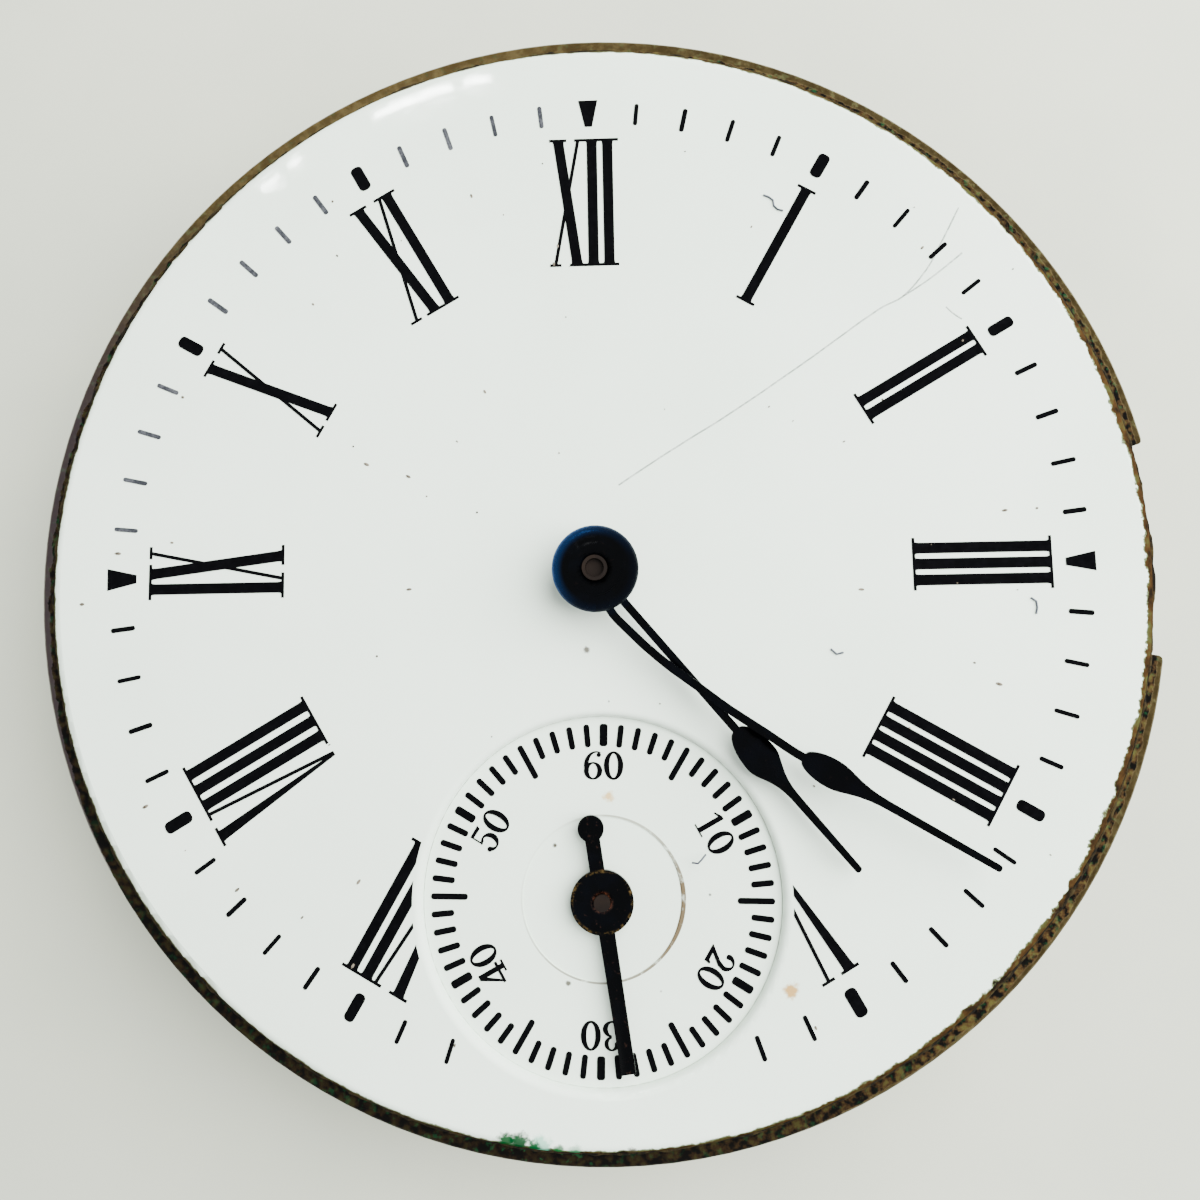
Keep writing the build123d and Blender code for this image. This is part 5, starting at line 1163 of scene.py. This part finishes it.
@dataclass
class Escapement(Assembly):
    """The escape wheel, the lever and the balance with its spring."""

    centre: Spot = (-11.322, -0.813)
    escape_centre: Spot = (-4.302, -7.591)
    rings: float = 5.0
    screws: int = 14
    rim: float = 7.7
    screw_level: float = 2.2
    first_bearing: float = 136.0
    head: Spot = (0.3, 0.49)
    head_gap: float = 0.01
    shank: Spot = (0.15, 0.5)
    slot: Spot = (0.1, 0.16)
    head_steps: int = 20
    shank_steps: int = 12

    def build(self) -> None:
        """Dress the escapement and grow its rim screws."""
        steel, grey = linear(200, 202, 208), linear(170, 174, 182)
        gold, amber = linear(230, 192, 118), linear(208, 166, 90)
        escape = Sunray("escape_steel", steel, grey, self.escape_centre, self.rings)
        balance = Sunray("balance_gold", gold, amber, self.centre, self.rings)
        self.dress(escape, "escape_wheel")
        self.dress(
            STEEL, "pallet_fork", "pallet_arbor", "balance_staff", "roller", "hairspring_stud"
        )
        self.dress(RUBY, "pallet_stones", "roller_jewel")
        self.dress(SPRING_STEEL, "hairspring")
        self.dress(balance, "balance_wheel")
        self.rim_screws()

    def screw(self, growth: Growth) -> Socket:
        """Make one upright screw with a slotted head.

        Args:
            growth: The tree.

        Returns:
            The screw's socket.
        """
        head = growth.cylinder(self.head_steps, self.head)
        size = (3 * self.head[0] * MM, self.slot[0] * MM, 2 * self.slot[1] * MM)
        cut = growth.raised(growth.shape("MeshCube", {"Size": size}), self.head[1] / 2)
        slotted = growth.shape(
            "MeshBoolean", {"Mesh 1": head, "Mesh 2": cut}, operation="DIFFERENCE", solver="EXACT"
        )
        shank = growth.cylinder(self.shank_steps, self.shank)
        return growth.join(
            growth.raised(slotted, self.head_gap + self.head[1] / 2),
            growth.raised(shank, -self.shank[1] / 4),
        )

    def rim_screws(self) -> None:
        """Set slotted screws round the balance rim."""
        growth = Growth("rim_screws", Count="Int", Rim="Float")
        count, rim = growth.given["Count"], growth.given["Rim"]
        share = growth.math("DIVIDE", growth.plus(growth.shape("InputIndex"), 0.5), count)
        turn = growth.scaled(share, 2 * math.pi, math.radians(self.first_bearing))
        spot = growth.vector(
            growth.scaled(growth.math("COSINE", turn), rim, self.centre[0] * MM),
            growth.scaled(growth.math("SINE", turn), rim, self.centre[1] * MM),
            self.screw_level * MM,
        )
        rotation = growth.vector(0.0, math.pi / 2, turn)
        screws = growth.scatter(
            growth.row(count, spot), self.screw(growth), self.palette.of(BRASS), Rotation=rotation
        )
        mesh = growth.grow(screws, Count=self.screws, Rim=self.rim * MM)
        self.add_piece("balance_rim_screws", mesh, Body.BALANCE, Slot.BRASS, "balance_screws")


@dataclass
class Winding(Assembly):
    """The winding and setting works."""

    ratchet_centre: Spot = (4.95, 8.574)
    crown_centre: Spot = (12.614, 0.0)

    def build(self) -> None:
        """Dress the winding works."""
        bright, dull = linear(206, 208, 212), linear(166, 168, 174)
        self.dress(Sunray("ratchet_sunray", bright, dull, self.ratchet_centre), "ratchet_wheel")
        self.dress(Sunray("crown_sunray", bright, dull, self.crown_centre), "crown_wheel")
        self.dress(SCREW_STEEL, "ratchet_screw", "crown_screw")
        self.dress(
            GREY_STEEL, "click", "winding_pinion", "clutch", "winding_arbor", "yoke", "barrel_arbor"
        )
        self.dress(SPRING_STEEL, "click_spring")


@dataclass
class Dial(Assembly):
    """The enamel dial, its prints and what time has left on it."""

    top: float = 8.35
    enamel_radius: float = 20.75
    print_height: float = 0.02
    track_radius: float = 18.0
    bar: Spot = (0.17, 0.92)
    hour_bar: Spot = (0.43, 1.05)
    wedge: Spot = (0.8, 1.08)
    wedge_tip: float = 0.3
    corner: float = 0.08
    hour_corner: float = 0.17
    corner_steps: int = 4
    lean: float = 0.02
    wide_by: Spot = (0.9, 1.12)
    long_by: Spot = (0.96, 1.04)
    track_seed: int = 7
    hidden: tuple[int, ...] = (28, 29, 30, 31, 32)
    quarters: tuple[int, ...] = (0, 15, 45)
    faint: tuple[int, ...] = (46, 47, 48, 49, 51, 52, 53, 54, 56, 57, 58, 59)
    seconds_centre: Spot = (0.0, -12.0)
    seconds_ring: float = 2.97
    seconds_stains: tuple[Stain, ...] = (
        Stain((0.3, -8.35), 0.26, linear(196, 160, 96), 0.85),
        Stain((-1.72, -10.08), 0.12, linear(48, 36, 20), 0.95),
        Stain((-1.29, -14.95), 0.1, linear(56, 44, 28), 0.9),
        Stain((3.93, -11.9), 0.07, linear(70, 70, 62), 0.85),
        Stain((2.06, -15.26), 0.06, linear(120, 120, 112), 0.7),
    )
    stains: tuple[Stain, ...] = (
        Stain((6.68, -15.14), 0.34, linear(172, 128, 54), 0.9),
        Stain((5.5, -9.97), 0.24, linear(168, 128, 60), 0.85),
        Stain((-0.4, -2.95), 0.16, linear(70, 60, 50), 0.9),
        Stain((-2.3, -20.4), 0.5, linear(84, 168, 138), 0.7),
        Stain((-1.1, -20.55), 0.3, linear(50, 130, 90), 0.6),
        Stain((-3.6, -20.2), 0.4, linear(2, 62, 26), 0.98),
        Stain((-3.1, -20.28), 0.42, linear(0, 56, 24), 0.98),
        Stain((-2.6, -20.42), 0.3, linear(4, 70, 32), 0.98),
        Stain((-1.75, -20.5), 0.26, linear(10, 90, 44), 0.9),
        Stain((0.9, -20.6), 0.25, linear(52, 44, 26), 0.85),
    )
    crack_lines: Lines = (
        ((0.9, 3.2), (1.74, 3.75), (3.3, 4.72), (5.07, 5.78), (6.79, 6.9), (8.51, 8.06),
         (10.92, 9.73), (11.98, 10.29), (12.92, 11.33), (13.56, 12.42), (14.25, 13.72)),
        ((11.98, 10.29), (13.1, 11.0), (14.3, 11.93)),
        ((13.57, 9.82), (13.9, 9.5), (14.15, 9.33)),
    )
    crack_width: float = 0.06
    crack_rise: float = 0.006
    crack_lift: float = 0.001
    crack_sway: float = 0.05
    fibre_lines: Lines = (
        ((6.8, 14.5), (7.1, 14.25), (7.2, 13.95), (7.5, 13.8)),
        ((16.1, -1.3), (16.3, -1.55), (16.25, -1.9)),
        ((8.6, -3.1), (8.81, -3.28), (9.1, -3.2)),
        ((3.26, -10.69), (3.5, -10.71), (3.83, -10.35)),
    )
    fibre_radius: float = 0.035
    fibre_steps: int = 6
    fibre_sway: float = 0.12
    path_step: float = 0.2
    specks: int = 70
    speck_radius: float = 0.05
    speck_size: Spot = (0.4, 1.3)
    speck_stretch: Spot = (1.0, 2.4)
    speck_flat: float = 0.4
    speck_lift: float = 0.012
    dust_reach: float = 20.0
    dust_seed: int = 11
    seconds_clear: float = 7.0
    bead_radius: float = 20.86
    bead_level: float = 7.8
    bead_thickness: float = 0.13
    bead_drift: float = 0.004
    bead_steps: tuple[int, int] = (900, 7)

    def build(self) -> None:
        """Dress the dial's nodes and add its drawn pieces."""
        enamel = Enamel("dial_white", edge=self.enamel_radius, stains=self.stains)
        seconds = Enamel(
            "seconds_white", linear(228, 243, 227), linear(222, 237, 221), self.seconds_centre,
            self.seconds_stains, ring=self.seconds_ring,
        )
        self.dress(enamel, "dial_enamel")
        self.dress(seconds, "seconds_dial")
        self.dress(COUNTER, "counter_enamel")
        self.dress(COPPER, "dial_copper")
        self.dress(INK, "hour_numerals", "seconds_marks")
        self.dress(SCREW_STEEL, "dial_foot_screws")
        self.track()
        self.crack()
        self.fibres()
        self.dust()
        self.edge_bead()

    def track(self) -> None:
        """Paint the minute track, each mark a little off as a hand would leave it."""
        growth = Growth(
            "minute_track", Radius="Float", Height="Float", Thickness="Float", Seed="Int"
        )
        radius = growth.given["Radius"]
        index = growth.shape("InputIndex")
        turn = growth.times(index, 2 * math.pi / MINUTES)
        spot = growth.vector(
            growth.times(growth.math("SINE", turn), radius),
            growth.times(growth.math("COSINE", turn), radius),
            growth.given["Height"],
        )
        points = growth.row(MINUTES, spot)
        rotation = growth.vector(0.0, 0.0, growth.minus(growth.random(-self.lean, self.lean), turn))
        wide = growth.random(*self.wide_by, 1.0)
        scale = growth.vector(wide, growth.random(*self.long_by, 2.0), 1.0)
        hours = [m for m in range(0, MINUTES, 5) if m not in (*self.quarters, *self.hidden)]
        hidden = growth.chosen(index, self.hidden)
        wedges = growth.chosen(index, self.quarters)
        fives = growth.chosen(index, hours)
        faint = growth.chosen(index, self.faint)
        plain = growth.minus(1.0, growth.plus(hidden, growth.plus(wedges, fives)))
        inputs = {
            "Bottom Width": self.wedge_tip * MM, "Top Width": self.wedge[0] * MM,
            "Height": self.wedge[1] * MM, "Offset": 0.0,
        }
        wedge = growth.shape("CurvePrimitiveQuadrilateral", inputs, mode="TRAPEZOID")
        bar = self.soft_bar(growth, self.bar, self.corner)
        hour_bar = self.soft_bar(growth, self.hour_bar, self.hour_corner)
        kinds = (
            (growth.minus(plain, faint), bar, INK), (faint, bar, FAINT_INK),
            (fives, hour_bar, INK), (wedges, wedge, INK),
        )
        marks = [
            growth.scatter(
                points, growth.slab(outline, growth.given["Thickness"]), self.palette.of(finish),
                Selection=picked, Rotation=rotation, Scale=scale,
            )
            for picked, outline, finish in kinds
        ]
        mesh = growth.grow(
            growth.join(*marks), Radius=self.track_radius * MM, Height=self.top * MM,
            Thickness=self.print_height * MM, Seed=self.track_seed,
        )
        self.add_piece("minute_track", mesh, Body.ROOT, Slot.INK, "minute_marks")

    def soft_bar(self, growth: Growth, size: Spot, corner: float) -> Socket:
        """Draw a bar with rounded corners.

        Args:
            growth: The tree.
            size: The bar's width and height in millimetres.
            corner: The corners' radius in millimetres.

        Returns:
            The curve's socket.
        """
        outline = growth.rectangle(size[0] * MM, size[1] * MM)
        inputs = {"Curve": outline, "Count": self.corner_steps, "Radius": corner * MM}
        return growth.shape("FilletCurve", inputs, mode="POLY")

    def crack(self) -> None:
        """Lay the hairline crack as a thin ribbon in the face."""
        growth = Growth("hairline_crack", Width="Float", Rise="Float")
        ribbon = growth.rectangle(growth.given["Width"], growth.given["Rise"])
        swept = self.follow(growth, ribbon, self.crack_sway, CRACK)
        lines = path_mesh("hairline_crack", self.crack_lines, self.top + self.crack_lift)
        mesh = growth.grow(swept, lines, Width=self.crack_width * MM, Rise=self.crack_rise * MM)
        self.add_piece("hairline_crack", mesh, Body.ROOT, Slot.INK)

    def fibres(self) -> None:
        """Lay stray fibres on the face."""
        growth = Growth("stray_fibres", Thickness="Float")
        ring = growth.circle(self.fibre_steps, growth.given["Thickness"])
        swept = self.follow(growth, ring, self.fibre_sway, FIBRE)
        lines = path_mesh("stray_fibres", self.fibre_lines, self.top + self.fibre_radius)
        mesh = growth.grow(swept, lines, Thickness=self.fibre_radius * MM)
        self.add_piece("stray_fibres", mesh, Body.ROOT, Slot.INK)

    def follow(self, growth: Growth, profile: Any, sway: float, finish: Finish) -> Socket:
        """Sweep a profile along the tree's own lines.

        Args:
            growth: The tree.
            profile: The profile's curve socket.
            sway: Sideways wander in millimetres.
            finish: The finish of what is swept.

        Returns:
            The painted geometry's socket.
        """
        curve = growth.shape("MeshToCurve", {0: growth.given["Geometry"]})
        curve = growth.shape("CurveSplineType", {"Curve": curve}, spline_type="CATMULL_ROM")
        inputs = {"Curve": curve, "Length": self.path_step * MM}
        curve = growth.shape("ResampleCurve", inputs, mode="LENGTH")
        wander = growth.noise(growth.shape("InputPosition"), 1.1 / MM, 2.0)
        side = growth.centred(wander, 2 * sway * MM)
        offset = growth.vector(side, side, 0.0)
        curve = growth.shape("SetPosition", {"Geometry": curve, "Offset": offset})
        curve = growth.shape("SetCurveNormal", {"Curve": curve}, mode="Z_UP")
        inputs = {"Curve": curve, "Profile Curve": profile, "Fill Caps": True}
        return growth.painted(growth.shape("CurveToMesh", inputs), self.palette.of(finish))

    def dust(self) -> None:
        """Scatter dust specks over the face, away from the seconds opening."""
        growth = Growth("dust_specks", Radius="Float", Height="Float", Count="Int", Seed="Int")
        given = growth.given
        turn = growth.random(0.0, 2 * math.pi)
        reach = growth.times(given["Radius"], growth.math("SQRT", growth.random(0.03, 1.0, 1.0)))
        spot = growth.vector(
            growth.times(growth.math("COSINE", turn), reach),
            growth.times(growth.math("SINE", turn), reach),
            given["Height"],
        )
        x, y, _ = growth.split(growth.shape("InputPosition"))
        apart = growth.distance(x, growth.minus(y, self.seconds_centre[1] * MM))
        clear = growth.math("GREATER_THAN", apart, self.seconds_clear * MM)
        inputs = {"Radius": self.speck_radius * MM, "Subdivisions": 1}
        speck = growth.shape("MeshIcoSphere", inputs)
        size = growth.random(*self.speck_size, 2.0)
        long = growth.times(size, growth.random(*self.speck_stretch, 3.0))
        scattered = growth.scatter(
            growth.row(given["Count"], spot), speck, self.palette.of(DUST),
            Selection=clear, Rotation=growth.vector(0.0, 0.0, turn),
            Scale=growth.vector(long, size, self.speck_flat),
        )
        mesh = growth.grow(
            scattered, Radius=self.dust_reach * MM, Height=(self.top + self.speck_lift) * MM,
            Count=self.specks, Seed=self.dust_seed,
        )
        self.add_piece("dust_specks", mesh, Body.ROOT, Slot.INK)

    def edge_bead(self) -> None:
        """Pack the joint between the enamel's edge and the rim with uneven grime."""
        growth = Growth("edge_grime", Radius="Float", Height="Float", Thickness="Float")
        given = growth.given
        along, round_it = self.bead_steps
        place = growth.shape("InputPosition")
        lumps = growth.noise(place, 0.9 / MM, 5.0, 0.65)
        drift = growth.centred(lumps, self.bead_drift)
        inputs = {0: place, "Scale": drift}
        away = growth.add("ShaderNodeVectorMath", inputs, operation="SCALE").outputs[0]
        inputs = {0: away, 1: growth.vector(0.0, 0.0, given["Height"])}
        offset = growth.add("ShaderNodeVectorMath", inputs, operation="ADD").outputs[0]
        inputs = {"Geometry": growth.circle(along, given["Radius"]), "Offset": offset}
        moved = growth.shape("SetPosition", inputs)
        radius = growth.scaled(growth.step(lumps, 0.36, 0.72), 0.85, 0.25)
        sized = growth.shape("SetCurveRadius", {"Curve": moved, "Radius": radius})
        inputs = {
            "Curve": sized, "Profile Curve": growth.circle(round_it, given["Thickness"]),
            "Scale": radius, "Fill Caps": False,
        }
        mesh = growth.grow(
            growth.painted(growth.shape("CurveToMesh", inputs), self.palette.of(GRIME)),
            Radius=self.bead_radius * MM, Height=self.bead_level * MM,
            Thickness=self.bead_thickness * MM,
        )
        for face in mesh.polygons:
            face.use_smooth = True
        self.add_piece("edge_grime", mesh, Body.ROOT, Slot.INK)


@dataclass
class Hands(Assembly):
    """The three blued hands, with softened edges."""

    edge: float = 0.035
    edge_steps: int = 2
    sharper_than: float = 32.0
    seam: float = 0.001
    sliver: float = 0.0005
    seconds_finish: Blued = Blued("blued_seconds", (0.0, -12.0), 1.15, 0.31, 1.09, 0.3)

    def build(self) -> None:
        """Replace the CAD hands with rounded copies."""
        hands = (
            ("hour_hand", Blued("blued_hour"), Body.HOUR),
            ("minute_hand", Blued("blued_minute"), Body.MINUTE),
            ("seconds_hand", self.seconds_finish, Body.SECONDS),
        )
        for node, finish, body in hands:
            mesh = self.bevelled(node)
            mesh.materials.append(self.palette.of(finish))
            self.add_piece(node + "_blued", mesh, body, Slot.BLUED, node)

    def bevelled(self, node: str) -> bpy.types.Mesh:
        """Copy a CAD node's mesh, join its seams and round its edges.

        Args:
            node: The CAD node's name.

        Returns:
            The new mesh.
        """
        mesh = self.frame["nodes"][node].data.copy()
        shape = bmesh.new()
        shape.from_mesh(mesh)
        bmesh.ops.remove_doubles(shape, verts=shape.verts, dist=self.seam * MM)
        bmesh.ops.dissolve_degenerate(shape, edges=shape.edges, dist=self.sliver * MM)
        for face in shape.faces:
            face.smooth = True
        shape.to_mesh(mesh)
        shape.free()
        mesh.materials.clear()
        source = bpy.data.objects.new(node + "_source", mesh)
        bpy.context.scene.collection.objects.link(source)
        rounding = source.modifiers.new("round", "BEVEL")
        rounding.width = self.edge * MM
        rounding.segments = self.edge_steps
        rounding.limit_method = "ANGLE"
        rounding.angle_limit = math.radians(self.sharper_than)
        rounding.harden_normals = True
        made = plain_mesh(source)
        source.modifiers.remove(rounding)
        bpy.data.objects.remove(source)
        return made


@dataclass
class Studio:
    """The pale floor, the sky and the soft lights."""

    floor_half: float = 600.0
    sky: Colour = linear(226, 230, 230)
    sky_share: float = 1.0
    softboxes: tuple[Softbox, ...] = (
        Softbox((110.0, 70.0, 150.0), 260.0, 2.2),
        Softbox((110.0, -20.0, 60.0), 60.0, 0.06),
    )
    eye: Point = (1.03, -1.73, 45.9)
    dial_top: float = 8.35
    reach: float = 2.5
    glints: tuple[Glint, ...] = (
        Glint((-7.75, 18.45), (1.5, 0.22), 23.0),
        Glint((-6.0, 19.1), (1.3, 0.3), 17.5),
        Glint((-6.9, 18.75), (0.8, 0.15), 20.0),
        Glint((-4.4, 19.5), (1.1, 0.22), 12.5),
        Glint((-12.6, 15.55), (0.9, 0.18), 39.0),
        Glint((-11.6, 16.35), (0.5, 0.15), 35.5),
    )
    glint_power: float = 0.005

    def build(self) -> None:
        """Make the floor, the sky and the lights."""
        self.lay_floor()
        self.light_sky()
        for number, softbox in enumerate(self.softboxes):
            self.softbox(f"softbox_{number}", softbox)
        for number, glint in enumerate(self.glints):
            self.glint(f"glint_{number}", glint)

    def lay_floor(self) -> None:
        """Lay the floor under the movement."""
        half = self.floor_half * MM
        corners = [(-half, -half, 0), (half, -half, 0), (half, half, 0), (-half, half, 0)]
        mesh = bpy.data.meshes.new("floor")
        mesh.from_pydata(corners, [], [(0, 1, 2, 3)])
        mesh.materials.append(FLOOR.make())
        floor = bpy.data.objects.new("floor", mesh)
        bpy.context.scene.collection.objects.link(floor)

    def light_sky(self) -> None:
        """Light the scene evenly from all sides."""
        world = bpy.data.worlds.new("sky")
        world.use_nodes = True
        back = next(node for node in world.node_tree.nodes if node.type == "BACKGROUND")
        back.inputs["Color"].default_value = (*self.sky, 1.0)
        back.inputs["Strength"].default_value = self.sky_share
        bpy.context.scene.world = world

    def softbox(self, name: str, softbox: Softbox) -> None:
        """Hang a round soft light that looks at the middle and isn't mirrored.

        Args:
            name: The light's name.
            softbox: Its place, size and power.
        """
        light = bpy.data.lights.new(name, "AREA")
        light.shape = "DISK"
        light.size = softbox.size * MM
        light.energy = softbox.power
        place = Vector(softbox.spot)
        self.hang(light, place, (-place).to_track_quat("-Z", "Y"), mirrored=False)

    def glint(self, name: str, glint: Glint) -> None:
        """Hang a small light that the dial mirrors to the viewer at one place.

        Args:
            name: The light's name.
            glint: Where it is seen on the dial.
        """
        mirror = Vector((*glint.spot, self.dial_top))
        way = mirror - Vector(self.eye)
        place = mirror + self.reach * Vector((way.x, way.y, -way.z))
        light = bpy.data.lights.new(name, "AREA")
        light.shape = "RECTANGLE"
        light.size, light.size_y = (side * (1 + self.reach) * MM for side in glint.size)
        light.energy = self.glint_power * glint.size[0] * glint.size[1]
        turn = math.radians(glint.turn)
        back = (place - mirror).normalized()
        along = Vector((math.cos(turn), math.sin(turn), 0.0))
        along = (along - back * along.dot(back)).normalized()
        axes = Matrix((along, back.cross(along), back)).transposed()
        self.hang(light, place, axes.to_quaternion(), mirrored=True)

    def hang(
        self, light: bpy.types.Light, place: Vector, rotation: Quaternion, mirrored: bool
    ) -> None:
        """Put a light in the scene.

        Args:
            light: The light.
            place: Its place in millimetres.
            rotation: Its rotation.
            mirrored: Whether shiny surfaces show it.
        """
        lamp = bpy.data.objects.new(light.name, light)
        lamp.location = place * MM
        lamp.rotation_mode = "QUATERNION"
        lamp.rotation_quaternion = rotation
        lamp.visible_glossy = mirrored
        bpy.context.scene.collection.objects.link(lamp)


@dataclass
class Viewpoint:
    """Where the photograph was taken from, in millimetres and degrees."""

    target: Point = (0.182, 2.275, 8.35)
    distance: float = 37.774
    bearing: float = 12.002
    tilt: float = 6.217
    roll: float = -1.056
    lens: float = 30.0
    sensor: float = 36.0
    drop: float = -0.075
    clip: Spot = (0.001, 10.0)

    def build(self) -> None:
        """Make the camera and look through it."""
        bearing, tilt, roll = (math.radians(a) for a in (self.bearing, self.tilt, self.roll))
        flat = Vector((math.sin(bearing), -math.cos(bearing), 0.0)) * math.sin(tilt)
        back = flat + Vector((0.0, 0.0, math.cos(tilt)))
        level = Vector((0, 1, 0)).cross(back).normalized()
        upright = back.cross(level)
        right = math.cos(roll) * level + math.sin(roll) * upright
        up = math.cos(roll) * upright - math.sin(roll) * level
        place = (Vector(self.target) + back * self.distance) * MM
        data = bpy.data.cameras.new("camera")
        data.lens = self.lens
        data.sensor_width = self.sensor
        data.shift_y = self.drop
        data.clip_start, data.clip_end = self.clip
        camera = bpy.data.objects.new("camera", data)
        axes = Matrix((right, up, back)).transposed().to_4x4()
        camera.matrix_world = Matrix.Translation(place) @ axes
        bpy.context.scene.collection.objects.link(camera)
        bpy.context.scene.camera = camera


@dataclass
class Movement:
    """The whole movement: every sub-assembly in the order that it is dressed."""

    parts: tuple[type[Assembly], ...] = (Plates, Train, Escapement, Winding, Dial, Hands)

    def build(self, frame: dict[str, Any]) -> None:
        """Build and dress every sub-assembly.

        Args:
            frame: The loaded frame.
        """
        palette = Palette()
        for part in self.parts:
            part(frame, palette).build()


def main() -> None:
    """Build the looks, the studio and the camera."""
    logging.basicConfig(level=logging.INFO, format="%(message)s")
    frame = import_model()
    Movement().build(frame)
    Studio().build()
    Viewpoint().build()


if __name__ == "__main__":
    main()
